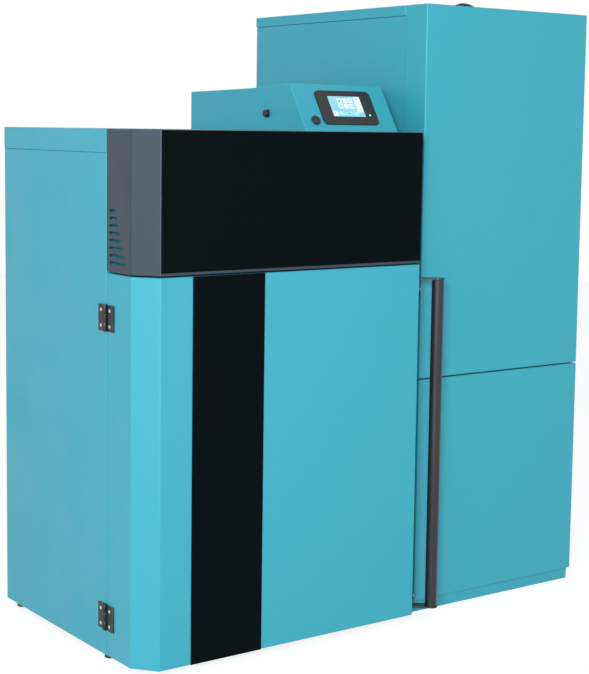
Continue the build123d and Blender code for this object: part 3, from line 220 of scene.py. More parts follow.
class SharedEffects:
    """The node groups that the finishes share."""

    def __init__(self) -> None:
        """Build the four groups."""
        self.grain = self._grain()
        self.wear_and_highlight = self._wear_and_highlight()
        self.dust = self._dust()
        self.brushing = self._brushing()

    @staticmethod
    def _grain() -> bpy.types.NodeTree:
        """Fine orange peel and grain height of a coat.

        Returns:
            Group with Scale and Softness in, Height and Fleck out.
        """
        g = GroupBuilder("coat_grain")
        g.socket("Scale", "NodeSocketFloat", "INPUT", 900.0)
        g.socket("Softness", "NodeSocketFloat", "INPUT", 0.5)
        g.socket("Height", "NodeSocketFloat", "OUTPUT")
        g.socket("Fleck", "NodeSocketFloat", "OUTPUT")
        place = g.node("ShaderNodeTexCoord")
        fine = g.node("ShaderNodeTexNoise", in_3=3.0)
        g.link(place.outputs["Object"], fine.inputs["Vector"])
        g.link(g.source.outputs["Scale"], fine.inputs["Scale"])
        g.link(g.source.outputs["Softness"], fine.inputs["Roughness"])
        cells = g.node("ShaderNodeTexVoronoi", feature="SMOOTH_F1")
        g.link(place.outputs["Object"], cells.inputs["Vector"])
        g.link(g.source.outputs["Scale"], cells.inputs["Scale"])
        both = g.node("ShaderNodeMath", operation="MULTIPLY_ADD", in_1=0.6)
        g.link(cells.outputs["Distance"], both.inputs[0])
        g.link(fine.outputs[0], both.inputs[2])
        g.link(both.outputs[0], g.sink.inputs["Height"])
        g.link(stretched(g.tree, fine.outputs[0], 0.35, 0.65), g.sink.inputs["Fleck"])
        return g.tree

    @staticmethod
    def _wear_and_highlight() -> bpy.types.NodeTree:
        """Share of worn paint and painted edge highlight along sharp edges.

        Returns:
            Group with Radius and Amount in, Mask out.
        """
        g = GroupBuilder("edge_wear")
        g.socket("Radius", "NodeSocketFloat", "INPUT", 0.0015)
        g.socket("Amount", "NodeSocketFloat", "INPUT", 0.4)
        g.socket("Mask", "NodeSocketFloat", "OUTPUT")
        rounded = g.node("ShaderNodeBevel", samples=4)
        g.link(g.source.outputs["Radius"], rounded.inputs["Radius"])
        flat = g.node("ShaderNodeNewGeometry")
        facing = g.node("ShaderNodeVectorMath", operation="DOT_PRODUCT")
        g.link(rounded.outputs[0], facing.inputs[0])
        g.link(flat.outputs["Normal"], facing.inputs[1])
        edge = stretched(g.tree, facing.outputs["Value"], 0.995, 0.86)
        place = g.node("ShaderNodeTexCoord")
        patch = g.node("ShaderNodeTexNoise", in_2=38.0, in_3=5.0)
        g.link(place.outputs["Object"], patch.inputs["Vector"])
        broken = stretched(g.tree, patch.outputs[0], 0.42, 0.66)
        worn_and_highlight = product(g.tree, product(g.tree, edge, broken), g.source.outputs["Amount"], True)
        g.link(worn_and_highlight, g.sink.inputs["Mask"])
        return g.tree

    @staticmethod
    def _dust() -> bpy.types.NodeTree:
        """Thin dust on faces that look up, and faint smudges elsewhere.

        Returns:
            Group with Amount in, Mask and Smudge out.
        """
        g = GroupBuilder("dust")
        g.socket("Amount", "NodeSocketFloat", "INPUT", 0.2)
        g.socket("Mask", "NodeSocketFloat", "OUTPUT")
        g.socket("Smudge", "NodeSocketFloat", "OUTPUT")
        place = g.node("ShaderNodeTexCoord")
        shape = g.node("ShaderNodeNewGeometry")
        parts = g.node("ShaderNodeSeparateXYZ")
        g.link(shape.outputs["Normal"], parts.inputs[0])
        up = stretched(g.tree, parts.outputs["Z"], 0.6, 1.0)
        cloud = g.node("ShaderNodeTexNoise", in_2=7.0, in_3=6.0)
        g.link(place.outputs["Object"], cloud.inputs["Vector"])
        spread = stretched(g.tree, cloud.outputs[0], 0.35, 0.75)
        g.link(spread, g.sink.inputs["Smudge"])
        dusty = product(g.tree, product(g.tree, up, spread), g.source.outputs["Amount"], True)
        g.link(dusty, g.sink.inputs["Mask"])
        return g.tree

    @staticmethod
    def _brushing() -> bpy.types.NodeTree:
        """Fine lines of drawn or brushed metal.

        Returns:
            Group with Scale in, Height out.
        """
        g = GroupBuilder("brushing")
        g.socket("Scale", "NodeSocketFloat", "INPUT", 60.0)
        g.socket("Height", "NodeSocketFloat", "OUTPUT")
        place = g.node("ShaderNodeTexCoord")
        stretch = g.node("ShaderNodeMapping")
        stretch.inputs["Scale"].default_value = (1.0, 1.0, 28.0)
        g.link(place.outputs["Object"], stretch.inputs["Vector"])
        lines = g.node("ShaderNodeTexNoise", in_3=4.0)
        g.link(stretch.outputs[0], lines.inputs["Vector"])
        g.link(g.source.outputs["Scale"], lines.inputs["Scale"])
        g.link(lines.outputs[0], g.sink.inputs["Height"])
        return g.tree


# Finishes

DUST_COLOUR = (0.55, 0.53, 0.50)


@dataclass(frozen=True)
class Finish:
    """One painted, moulded or bare surface."""

    name: str
    slot: str
    colour: Triple
    coat: Coat = Coat.SMOOTH
    roughness: float = 0.45
    metallic: float = 0.0
    clear_coat: float = 0.0
    grain_scale: float = 900.0
    grain_height: float = 0.25
    # Share and colour along sharp edges: worn paint, and a painted highlight where the colour is a
    # lighter copy of the coat.
    wear_and_highlight: float = 0.25
    worn_and_highlight: Triple = (0.42, 0.43, 0.44)
    dust: float = 0.12
    specular: float = 0.5

    def build(self, shared: SharedEffects) -> bpy.types.Material:
        """Make the material.

        Args:
            shared: Node groups used by every finish.

        Returns:
            The new material.
        """
        made = bpy.data.materials.new(self.name)
        made.use_nodes = True
        tree = made.node_tree
        shader = tree.nodes["Principled BSDF"]
        shader.inputs["Metallic"].default_value = self.metallic
        shader.inputs["Coat Weight"].default_value = self.clear_coat
        shader.inputs["Coat Roughness"].default_value = 0.12
        shader.inputs["Specular IOR Level"].default_value = self.specular
        self._colour(tree, shader, shared)
        self._relief(tree, shader, shared)
        made.diffuse_color = (*self.colour, 1.0)
        return made

    def _colour(
        self, tree: bpy.types.NodeTree, shader: bpy.types.Node, shared: SharedEffects
    ) -> None:
        """Colour with flecks, worn edges with painted highlight, and dust, and roughness to suit."""
        grain = add_node(tree, "ShaderNodeGroup", node_tree=shared.grain)
        grain.inputs["Scale"].default_value = self.grain_scale * 0.4
        darker = tuple(c * 0.95 for c in self.colour)
        base = mix_colours(tree, grain.outputs["Fleck"], darker, self.colour)
        dust = add_node(tree, "ShaderNodeGroup", node_tree=shared.dust)
        dust.inputs["Amount"].default_value = self.dust
        dusty = mix_colours(tree, dust.outputs["Mask"], base, DUST_COLOUR)
        wear_and_highlight = add_node(tree, "ShaderNodeGroup", node_tree=shared.wear_and_highlight)
        wear_and_highlight.inputs["Amount"].default_value = self.wear_and_highlight
        worn_and_highlight = mix_colours(tree, wear_and_highlight.outputs["Mask"], dusty, self.worn_and_highlight)
        tree.links.new(worn_and_highlight, shader.inputs["Base Color"])
        rough = add_node(
            tree, "ShaderNodeMapRange", in_3=self.roughness - 0.05, in_4=self.roughness + 0.08
        )
        tree.links.new(dust.outputs["Smudge"], rough.inputs["Value"])
        tree.links.new(rough.outputs[0], shader.inputs["Roughness"])

    def _relief(
        self, tree: bpy.types.NodeTree, shader: bpy.types.Node, shared: SharedEffects
    ) -> None:
        """Bump of the coat's grain or of brushing."""
        if self.coat is Coat.BRUSHED:
            source = add_node(tree, "ShaderNodeGroup", node_tree=shared.brushing)
        else:
            source = add_node(tree, "ShaderNodeGroup", node_tree=shared.grain)
            source.inputs["Scale"].default_value = self.grain_scale
            source.inputs["Softness"].default_value = 0.75 if self.coat is Coat.CAST else 0.5
        bump = add_node(tree, "ShaderNodeBump")
        bump.inputs["Strength"].default_value = self.grain_height
        bump.inputs["Distance"].default_value = 0.002 if self.coat is Coat.WOOL else 0.0006
        tree.links.new(source.outputs["Height"], bump.inputs["Height"])
        tree.links.new(bump.outputs["Normal"], shader.inputs["Normal"])


@dataclass(frozen=True)
class Glow:
    """A lit surface of the screen or the lamp."""

    name: str
    slot: str
    colour: Triple
    second: Triple
    strength: float = 1.0
    scale: float = 30.0

    def build(self, shared: SharedEffects) -> bpy.types.Material:
        """Make the material.

        Args:
            shared: Node groups used by every finish.

        Returns:
            The new material.
        """
        made = bpy.data.materials.new(self.name)
        made.use_nodes = True
        tree = made.node_tree
        shader = tree.nodes["Principled BSDF"]
        place = add_node(tree, "ShaderNodeTexCoord")
        cloud = add_node(tree, "ShaderNodeTexNoise", in_2=self.scale, in_3=2.0)
        tree.links.new(place.outputs["Object"], cloud.inputs["Vector"])
        even = stretched(tree, cloud.outputs[0], 0.3, 0.7)
        mixed = mix_colours(tree, even, self.colour, self.second)
        tree.links.new(mixed, shader.inputs["Base Color"])
        tree.links.new(mixed, shader.inputs["Emission Color"])
        shader.inputs["Emission Strength"].default_value = self.strength
        shader.inputs["Roughness"].default_value = 0.15
        made.diffuse_color = (*self.colour, 1.0)
        return made


# The lighter turquoise along sharp edges is a painted highlight of the lit folds, not worn paint.
TURQUOISE = Finish(
    "turquoise_powder_coat", "casing_paint", (0.036, 0.335, 0.428), Coat.POWDER,
    roughness=0.42, grain_scale=1400.0, grain_height=0.22, wear_and_highlight=0.10, worn_and_highlight=(0.20, 0.60, 0.68),
    dust=0.05, specular=0.36,
)
HOOD_GREY = Finish(
    "hood_grey_metallic", "hood_paint", (0.040, 0.057, 0.076), Coat.POWDER,
    roughness=0.40, metallic=0.45, grain_scale=1500.0, grain_height=0.16, wear_and_highlight=0.12, dust=0.05,
    specular=0.3,
)
SATIN_BLACK = Finish(
    "satin_black_panel", "black_panel", (0.0008, 0.0030, 0.0038), Coat.SMOOTH,
    roughness=0.40, grain_scale=1800.0, grain_height=0.05, wear_and_highlight=0.35, worn_and_highlight=(0.10, 0.11, 0.12),
    dust=0.0, specular=0.03,
)
HANDLE_BLACK = Finish(
    "handle_black_coat", "handle_paint", (0.012, 0.013, 0.017), Coat.POWDER,
    roughness=0.33, metallic=0.15, grain_scale=1300.0, grain_height=0.12, wear_and_highlight=0.3, dust=0.04,
)
HINGE_BLACK = Finish(
    "hinge_black_lacquer", "hinge_black", (0.010, 0.011, 0.013), Coat.SMOOTH,
    roughness=0.4, metallic=0.3, grain_scale=1500.0, grain_height=0.1, wear_and_highlight=0.5, dust=0.03,
)
SCREW_ZINC = Finish(
    "screw_bright_zinc", "screw_steel", (0.62, 0.63, 0.66), Coat.BRUSHED,
    roughness=0.25, metallic=1.0, grain_height=0.1, wear_and_highlight=0.1, dust=0.02,
)
BLACK_PLASTIC = Finish(
    "black_moulded_plastic", "black_plastic", (0.008, 0.009, 0.011), Coat.SMOOTH,
    roughness=0.38, grain_scale=1800.0, grain_height=0.12, wear_and_highlight=0.1, dust=0.03,
)
ZINC_SHEET = Finish(
    "zinc_coated_sheet", "zinc_sheet", (0.50, 0.52, 0.54), Coat.BRUSHED,
    roughness=0.42, metallic=0.85, grain_height=0.12, wear_and_highlight=0.1, dust=0.2,
)
VESSEL_BLACK = Finish(
    "vessel_primer", "vessel_paint", (0.022, 0.022, 0.025), Coat.POWDER,
    roughness=0.6, grain_scale=500.0, grain_height=0.35, wear_and_highlight=0.25, dust=0.35,
)
WOOL = Finish(
    "mineral_wool_mat", "mineral_wool", (0.46, 0.41, 0.20), Coat.WOOL,
    roughness=0.9, grain_scale=260.0, grain_height=0.9, wear_and_highlight=0.0, dust=0.1,
)
CAST_BLACK = Finish(
    "cast_door_black", "cast_door", (0.030, 0.030, 0.033), Coat.CAST,
    roughness=0.62, metallic=0.2, grain_scale=420.0, grain_height=0.7, wear_and_highlight=0.35, dust=0.2,
)
PLAIN_STEEL = Finish(
    "plain_steel", "latch_steel", (0.30, 0.31, 0.33), Coat.BRUSHED,
    roughness=0.4, metallic=0.95, grain_height=0.15, wear_and_highlight=0.1, dust=0.15,
)
FAN_ALUMINIUM = Finish(
    "cast_aluminium", "fan_aluminium", (0.52, 0.53, 0.55), Coat.CAST,
    roughness=0.5, metallic=0.85, grain_scale=600.0, grain_height=0.4, wear_and_highlight=0.1, dust=0.2,
)
MOTOR_GREY = Finish(
    "motor_grey_lacquer", "motor_paint", (0.075, 0.080, 0.092), Coat.POWDER,
    roughness=0.45, grain_scale=700.0, grain_height=0.25, wear_and_highlight=0.3, dust=0.25,
)
FLUE_STEEL = Finish(
    "stainless_sheet", "flue_steel", (0.50, 0.51, 0.53), Coat.BRUSHED,
    roughness=0.3, metallic=1.0, grain_height=0.12, wear_and_highlight=0.0, dust=0.15,
)
SOCKET_STEEL = Finish(
    "socket_plain_steel", "socket_steel", (0.26, 0.27, 0.29), Coat.BRUSHED,
    roughness=0.42, metallic=0.95, grain_height=0.2, wear_and_highlight=0.2, dust=0.1,
)
DRAIN_BRASS = Finish(
    "turned_brass", "drain_brass", (0.60, 0.42, 0.16), Coat.BRUSHED,
    roughness=0.3, metallic=1.0, grain_height=0.1, wear_and_highlight=0.1, dust=0.1,
)
MAGNET_BLACK = Finish(
    "magnet_holder", "magnet", (0.05, 0.05, 0.055), Coat.SMOOTH,
    roughness=0.5, grain_scale=900.0, grain_height=0.15, wear_and_highlight=0.2, dust=0.05,
)
SCREEN_BLUE = Glow("screen_backlight", "screen", (0.16, 0.46, 0.56), (0.26, 0.52, 0.62), 0.30, 45.0)
TILE_WHITE = Glow("screen_tile_white", "screen", (0.62, 0.84, 0.90), (0.52, 0.78, 0.86), 0.40, 90.0)
TILE_BLUE = Glow("screen_tile_blue", "screen", (0.20, 0.56, 0.78), (0.28, 0.66, 0.86), 0.5, 90.0)
GLYPH_DARK = Finish(
    "screen_glyph", "screen", (0.03, 0.10, 0.20), Coat.SMOOTH, roughness=0.3,
    grain_scale=2000.0, grain_height=0.02, wear_and_highlight=0.0, dust=0.0,
)
LAMP_GREEN = Glow("lamp_green", "light", (0.10, 0.85, 0.28), (0.25, 0.95, 0.42), 1.2, 200.0)


class Wardrobe:
    """Keeps one material per finish."""

    def __init__(self) -> None:
        """Start with the shared groups."""
        self.shared = SharedEffects()
        self.made: dict[str, bpy.types.Material] = {}

    def material(self, finish: "Finish | Glow") -> bpy.types.Material:
        """Return the finish's material, made on first use.

        Args:
            finish: The finish.

        Returns:
            Its material.
        """
        if finish.name not in self.made:
            self.made[finish.name] = finish.build(self.shared)
        return self.made[finish.name]

    def dress(self, thing: bpy.types.Object, finish: "Finish | Glow") -> None:
        """Give an object a finish."""
        thing.data.materials.clear()
        thing.data.materials.append(self.material(finish))


# Mesh building


class Forge:
    """One mesh under construction, in millimetres."""

    def __init__(self, name: str) -> None:
        """Start an empty mesh.

        Args:
            name: Name of the piece.
        """
        self.name = name
        self.mesh = bmesh.new()

    def face(self, points: Iterable[Sequence[float]]) -> bmesh.types.BMFace:
        """Add a face from points.

        Returns:
            The face.
        """
        return self.mesh.faces.new([self.mesh.verts.new(p) for p in points])

    def prism(self, outline: Sequence[Point], span: Span, axis: Axis = Axis.Z) -> list:
        """Closed prism over an outline.

        Args:
            outline: Points across the axis, in the order of the two other axes.
            span: Low and high end along the axis.
            axis: Axis of the prism.

        Returns:
            The prism's vertices.
        """
        base = self.face([self.spot(p, span[0], axis) for p in outline])
        reach = Vector((0, 0, 0))
        reach[axis.value] = span[1] - span[0]
        made = bmesh.ops.extrude_face_region(self.mesh, geom=[base])
        moved = [v for v in made["geom"] if isinstance(v, bmesh.types.BMVert)]
        bmesh.ops.translate(self.mesh, verts=moved, vec=reach)
        return list(base.verts) + moved

    @staticmethod
    def spot(point: Point, level: float, axis: Axis) -> Triple:
        """Point in space from a point across an axis and a level along it."""
        a, b = point
        return {Axis.X: (level, a, b), Axis.Y: (a, level, b), Axis.Z: (a, b, level)}[axis]

    def block(self, low: Sequence[float], high: Sequence[float], bevel: float = 0.0) -> list:
        """Box between two corners, with rounded edges on request.

        Returns:
            The box's vertices.
        """
        made = bmesh.ops.create_cube(self.mesh, size=1.0)["verts"]
        size = Vector(high) - Vector(low)
        middle = (Vector(high) + Vector(low)) / 2
        bmesh.ops.scale(self.mesh, vec=size, verts=made)
        bmesh.ops.translate(self.mesh, vec=middle, verts=made)
        if bevel > 0:
            edges = {e for v in made for e in v.link_edges}
            self.bevel(edges, bevel, 3)
        return made

    def lathe(self, profile: Sequence[Point], centre: Vector, along: Vector, steps: int = 48) -> None:
        """Turn a profile of (radius, height) points round a line.

        Args:
            profile: Points from the line out and back to it.
            centre: Start of the line.
            along: Direction of the line.
            steps: Steps of the full turn.
        """
        along = Vector(along).normalized()
        side = along.orthogonal().normalized()
        centre = Vector(centre)
        verts = [self.mesh.verts.new(centre + side * r + along * h) for r, h in profile]
        edges = [self.mesh.edges.new(pair) for pair in zip(verts, verts[1:])]
        bmesh.ops.spin(
            self.mesh, geom=verts + edges, cent=centre, axis=along, angle=math.tau, steps=steps,
            use_merge=True,
        )
        bmesh.ops.remove_doubles(self.mesh, verts=self.mesh.verts[:], dist=0.001)

    def tube(self, path: Sequence[Vector], radius: float, segments: int = 20) -> None:
        """Round bar bent along a path, with closed ends."""
        path = [Vector(p) for p in path]
        last = None
        for number, point in enumerate(path):
            before = path[max(number - 1, 0)]
            after = path[min(number + 1, len(path) - 1)]
            turn = (after - before).to_track_quat("Z", "Y").to_matrix().to_4x4()
            ring = bmesh.ops.create_circle(
                self.mesh, cap_ends=False, radius=radius, segments=segments,
                matrix=Matrix.Translation(point) @ turn,
            )["verts"]
            edges = list({e for v in ring for e in v.link_edges})
            if last is None:
                bmesh.ops.contextual_create(self.mesh, geom=edges)
            else:
                bmesh.ops.bridge_loops(self.mesh, edges=last + edges)
            last = edges
        bmesh.ops.contextual_create(self.mesh, geom=last)

    def bevel(self, edges: Iterable, width: float, segments: int = 3) -> None:
        """Round a set of edges."""
        bmesh.ops.bevel(
            self.mesh, geom=list(edges), offset=width, offset_type="OFFSET", affect="EDGES",
            segments=segments, profile=0.5, material=-1,
        )

    def thicken(self, sheet: float) -> None:
        """Give a single skin its sheet thickness, inwards from its outer face."""
        bmesh.ops.recalc_face_normals(self.mesh, faces=self.mesh.faces[:])
        bmesh.ops.solidify(self.mesh, geom=self.mesh.faces[:], thickness=sheet)

    def finish(self, smooth: float = 35.0) -> bpy.types.Object:
        """Write the mesh out in metres.

        Args:
            smooth: Largest angle in degrees that is shaded smooth.

        Returns:
            The object, linked into the scene.
        """
        bmesh.ops.remove_doubles(self.mesh, verts=self.mesh.verts[:], dist=0.002)
        bmesh.ops.recalc_face_normals(self.mesh, faces=self.mesh.faces[:])
        bmesh.ops.scale(self.mesh, vec=(MM, MM, MM), verts=self.mesh.verts[:])
        data = bpy.data.meshes.new(self.name)
        self.mesh.to_mesh(data)
        self.mesh.free()
        data.shade_smooth()
        data.set_sharp_from_angle(angle=math.radians(smooth))
        made = bpy.data.objects.new(self.name, data)
        bpy.context.scene.collection.objects.link(made)
        weighted = made.modifiers.new("weighted_normals", "WEIGHTED_NORMAL")
        weighted.keep_sharp = True
        return made


class Sheet:
    """Folded sheet metal, drawn as its outer skin and thickened inwards."""

    def __init__(self, name: str, outline: Sequence[Point], span: Span, axis: Axis = Axis.Z) -> None:
        """Draw the closed outer form.

        Args:
            name: Name of the piece.
            outline: Outline across the axis.
            span: Low and high end along the axis.
            axis: Axis of the form.
        """
        self.forge = Forge(name)
        self.forge.prism(outline, span, axis)
        bmesh.ops.recalc_face_normals(self.mesh, faces=self.mesh.faces[:])
        self.mesh.normal_update()

    @property
    def mesh(self) -> bmesh.types.BMesh:
        """The mesh that is being folded."""
        return self.forge.mesh

    def side(self, towards: Sequence[float]) -> bmesh.types.BMFace:
        """Largest face that looks in a direction."""
        aim = Vector(towards).normalized()
        found = [f for f in self.mesh.faces if f.normal.dot(aim) > SAME_WAY]
        return max(found, key=lambda f: f.calc_area())

    def open(self, *ways: Sequence[float]) -> None:
        """Take away the sides that look in the given directions."""
        faces = [self.side(way) for way in ways]
        bmesh.ops.delete(self.mesh, geom=faces, context="FACES")

    def rim(self, way: Sequence[float], width: float, free: Optional[Sequence[float]] = None) -> None:
        """Turn one side into an inward rim.

        Args:
            way: Direction that the side looks in.
            width: Width of the rim.
            free: Direction of an open side along which the rim is left off.
        """
        face = self.side(way)
        beside = self.side(free) if free is not None else None
        ring = bmesh.ops.inset_region(
            self.mesh, faces=[face], thickness=width, use_even_offset=True, use_boundary=True
        )["faces"]
        gone = [face]
        if beside is not None:
            gone += [f for f in ring if any(beside in e.link_faces for e in f.edges)]
        bmesh.ops.delete(self.mesh, geom=gone, context="FACES")

    def facing(self, aim: Vector, middle: Vector) -> bmesh.types.BMFace:
        """Face that looks along a direction and holds a point.

        Args:
            aim: The direction.
            middle: The point.

        Returns:
            The face.
        """
        self.mesh.normal_update()
        return next(
            f for f in self.mesh.faces
            if f.normal.dot(aim) > SAME_WAY and bmesh.geometry.intersect_face_point(f, middle)
        )

    def pierce(
        self, way: Sequence[float], corners: Sequence[Sequence[float]], round_off: float
    ) -> None:
        """Cut a hole with rounded corners into the side that holds its middle.

        Args:
            way: Direction that the side looks in.
            corners: The hole's four corners before rounding.
            round_off: Radius of its corners.
        """
        aim = Vector(way).normalized()
        middle = sum((Vector(c) for c in corners), Vector()) / 4
        face = self.facing(aim, middle)
        bmesh.ops.inset_individual(self.mesh, faces=[face], thickness=0.5)
        free = list(corners)
        for vert in list(face.verts):
            near = min(free, key=lambda c: (Vector(c) - vert.co).length)
            free.remove(near)
            vert.co = Vector(near)
        bmesh.ops.bevel(
            self.mesh, geom=list(face.verts), offset=round_off, offset_type="OFFSET",
            affect="VERTICES", segments=6, profile=0.5, material=-1,
        )
        hole = self.facing(aim, middle)
        bmesh.ops.delete(self.mesh, geom=[hole], context="FACES")

    def slice(
        self, points: Iterable[Sequence[float]], across: Sequence[float], way: Sequence[float]
    ) -> None:
        """Divide the side that looks one way by planes through points."""
        aim = Vector(way).normalized()
        for point in points:
            faces = [f for f in self.mesh.faces if f.normal.dot(aim) > SAME_WAY]
            edges = {e for f in faces for e in f.edges}
            verts = {v for f in faces for v in f.verts}
            bmesh.ops.bisect_plane(
                self.mesh, geom=faces + list(edges) + list(verts), dist=0.0001, plane_co=point,
                plane_no=across,
            )
            self.mesh.normal_update()

    def fold(self, radius: float, thickness: float, segments: int = 4) -> Forge:
        """Round the folds and give the sheet its thickness.

        Args:
            radius: Outer radius of the folds.
            thickness: Thickness of the sheet.
            segments: Steps of each fold.

        Returns:
            The forge with the finished mesh.
        """
        self.mesh.normal_update()
        folds = [
            e for e in self.mesh.edges
            if len(e.link_faces) == 2 and e.calc_face_angle(0.0) > math.radians(20)
        ]
        self.forge.bevel(folds, radius, segments)
        self.forge.thicken(thickness)
        return self.forge


# The object


@dataclass(frozen=True)
class Layout:
    """Sizes that the sub-assemblies share, in millimetres."""

    left: float = -694.1
    front: float = -420.672
    width: float = 826.0
    depth: float = 693.0
    height: float = 1228.0
    corner_width: float = 44.0
    corner_depth: float = 56.0
    seam: float = 163.0
    sheet: float = 2.0
    gap: float = 0.3
    fold: float = 2.6
    foot: float = 18.0
    skirt: float = 53.0
    hood_bottom: float = 908.0
    tank_gap: float = 8.0
    tank_width: float = 562.0
    tank_depth: float = 745.0
    tank_height: float = 1545.0
    tank_setback: float = 52.0

    @property
    def right(self) -> float:
        """Right side of the boiler."""
        return self.left + self.width

    @property
    def back(self) -> float:
        """Back of the boiler."""
        return self.front + self.depth

    @property
    def seam_y(self) -> float:
        """Seam between the front casing and the side panels."""
        return self.front + self.seam

    @property
    def skirt_z(self) -> float:
        """Lower edge of the top cover."""
        return self.height - self.skirt

    def front_outline(self, reach: float) -> list[Point]:
        """Plan of the front casing with its sloped corners, open to the back.

        Args:
            reach: Y at which both sides end.

        Returns:
            The plan's points.
        """
        side_y = self.front + self.corner_depth
        return [
            (self.left, reach), (self.left, side_y), (self.left + self.corner_width, self.front),
            (self.right - self.corner_width, self.front), (self.right, side_y), (self.right, reach),
        ]


def box_outline(x: Span, y: Span) -> list[Point]:
    """Corners of a rectangle.

    Args:
        x: Low and high limit of the first coordinate.
        y: Low and high limit of the second coordinate.

    Returns:
        Its four corners.
    """
    return [(x[0], y[0]), (x[1], y[0]), (x[1], y[1]), (x[0], y[1])]


@dataclass
class SubAssembly:
    """A group of pieces that share sizes and finishes."""

    layout: Layout
    wardrobe: Wardrobe
    frame: dict
    pieces: list[str] = field(default_factory=list, init=False)

    def place(self, made: bpy.types.Object, body: str, finish: "Finish | Glow", *nodes: str) -> None:
        """Dress a piece, let it ride on its body and stand for its nodes.

        Args:
            made: The piece.
            body: Body that carries it.
            finish: Its finish.
            nodes: Nodes that it stands for.
        """
        self.wardrobe.dress(made, finish)
        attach(made, body)
        if nodes:
            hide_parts(*nodes)
        self.pieces.append(made.name)
        log.info("%s: %s", type(self).__name__, made.name)

    def keep(self, finish: "Finish | Glow", edge: float, *nodes: str) -> None:
        """Show nodes of the construction with softened edges and a finish.

        Args:
            finish: Their finish.
            edge: Width of the softened edges in millimetres.
            nodes: Names of the nodes.
        """
        for name in nodes:
            thing = self.frame["nodes"][name]
            self.wardrobe.dress(thing, finish)
            if edge > 0:
                weld = thing.modifiers.new("weld", "WELD")
                weld.merge_threshold = 0.00002
                soft = thing.modifiers.new("soft_edges", "BEVEL")
                soft.width = edge * MM
                soft.segments = 2
                soft.limit_method = "ANGLE"
                soft.angle_limit = math.radians(40)
                soft.use_clamp_overlap = True
                soft.harden_normals = False
            self.pieces.append(name)
            log.info("%s: %s", type(self).__name__, name)


@dataclass
class BoilerCasing(SubAssembly):
    """Side panels, top cover, front frame and rear panel."""

    rim: float = 15.0

    def build(self) -> None:
        """Build and dress the casing."""
        for name, edge, inward in (
            ("left_casing_side", self.layout.left, 1), ("right_casing_side", self.layout.right, -1),
        ):
            self._side(name, edge, inward)
        self._top()
        self.keep(TURQUOISE, 0.4, "front_frame")
        self.keep(ZINC_SHEET, 0.3, "rear_panel")
        self.keep(BLACK_PLASTIC, 0.8, "levelling_feet", "cable_gland")

    def _side(self, name: str, edge: float, inward: int) -> None:
        """One side panel with its four rims."""
        lay = self.layout
        x = sorted((edge, edge + inward * self.rim))
        y = (lay.seam_y + lay.sheet, lay.back - lay.sheet)
        sheet = Sheet(name, box_outline(tuple(x), y), (lay.foot, lay.skirt_z - lay.gap))
        sheet.open((inward, 0, 0))
        made = sheet.fold(lay.fold, lay.sheet).finish()
        node = "left_side_panel" if inward > 0 else "right_side_panel"
        self.place(made, ROOT_BODY, TURQUOISE, node)

    def _top(self) -> None:
        """Cover with its skirt round three sides."""
        lay = self.layout
        y = (lay.seam_y + lay.sheet, lay.back)
        sheet = Sheet("top_casing", box_outline((lay.left, lay.right), y), (lay.skirt_z, lay.height))
        sheet.open((0, 0, -1), (0, -1, 0))
        self.place(sheet.fold(lay.fold, lay.sheet).finish(), ROOT_BODY, TURQUOISE, "top_cover")


@dataclass
class Hood(SubAssembly):
    """Grey hood over the door with graded air slots and its black front plate."""

    rim: float = 25.0
    slots: int = 8
    slot_pitch: float = 16.7
    slot_height: float = 7.0
    slot_low: float = 929.5
    slot_back: float = 150.0
    slot_short: float = 26.0
    slot_long: float = 74.0
    plate: float = 3.0
    lip: float = 7.0

    def build(self) -> None:
        """Build and dress the hood."""
        self._shell()
        self._plate()

    def _shell(self) -> None:
        """Folded hood with its slots."""
        lay = self.layout
        span = (lay.hood_bottom, lay.height)
        sheet = Sheet("hood_shell", lay.front_outline(lay.seam_y), span)
        sheet.rim((0, 0, -1), self.rim, (0, 1, 0))
        sheet.open((0, 1, 0))
        levels = [self.slot_low + (k - 0.5) * self.slot_pitch for k in range(self.slots + 1)]
        for edge, way in ((lay.left, -1), (lay.right, 1)):
            cuts = [(edge, lay.seam_y, level) for level in levels]
            sheet.slice(cuts, (0, 0, 1), (way, 0, 0))
            for k in range(self.slots):
                share = k / (self.slots - 1)
                length = self.slot_long + (self.slot_short - self.slot_long) * share
                end = lay.front + self.slot_back
                y = (end - length, end)
                middle = self.slot_low + k * self.slot_pitch
                z = (middle - self.slot_height / 2, middle + self.slot_height / 2)
                corners = [(edge, a, b) for a, b in box_outline(y, z)]
                sheet.pierce((way, 0, 0), corners, self.slot_height / 2 - 0.01)
        self.place(sheet.fold(lay.fold, lay.sheet).finish(), ROOT_BODY, HOOD_GREY, "hood_frame")

    def _plate(self) -> None:
        """Black plate on the front of the hood, with no marks on it."""
        lay = self.layout
        forge = Forge("hood_black_plate")
        forge.block(
            (lay.left + lay.corner_width, lay.front - self.plate, lay.hood_bottom + self.lip),
            (lay.right - lay.corner_width, lay.front, lay.height - 1.0),
        )
        bevel_front(forge, lay.front - self.plate, 1.2)
        self.place(forge.finish(), ROOT_BODY, SATIN_BLACK, "hood_front_plate")


def bevel_front(forge: Forge, front: float, width: float) -> None:
    """Round the edges of a plate's front face.

    Args:
        forge: Forge that holds the plate.
        front: Y of its front face.
        width: Width of the rounding.
    """
    edges = [e for e in forge.mesh.edges if all(abs(v.co.y - front) < 0.01 for v in e.verts)]
    forge.bevel(edges, width, 3)


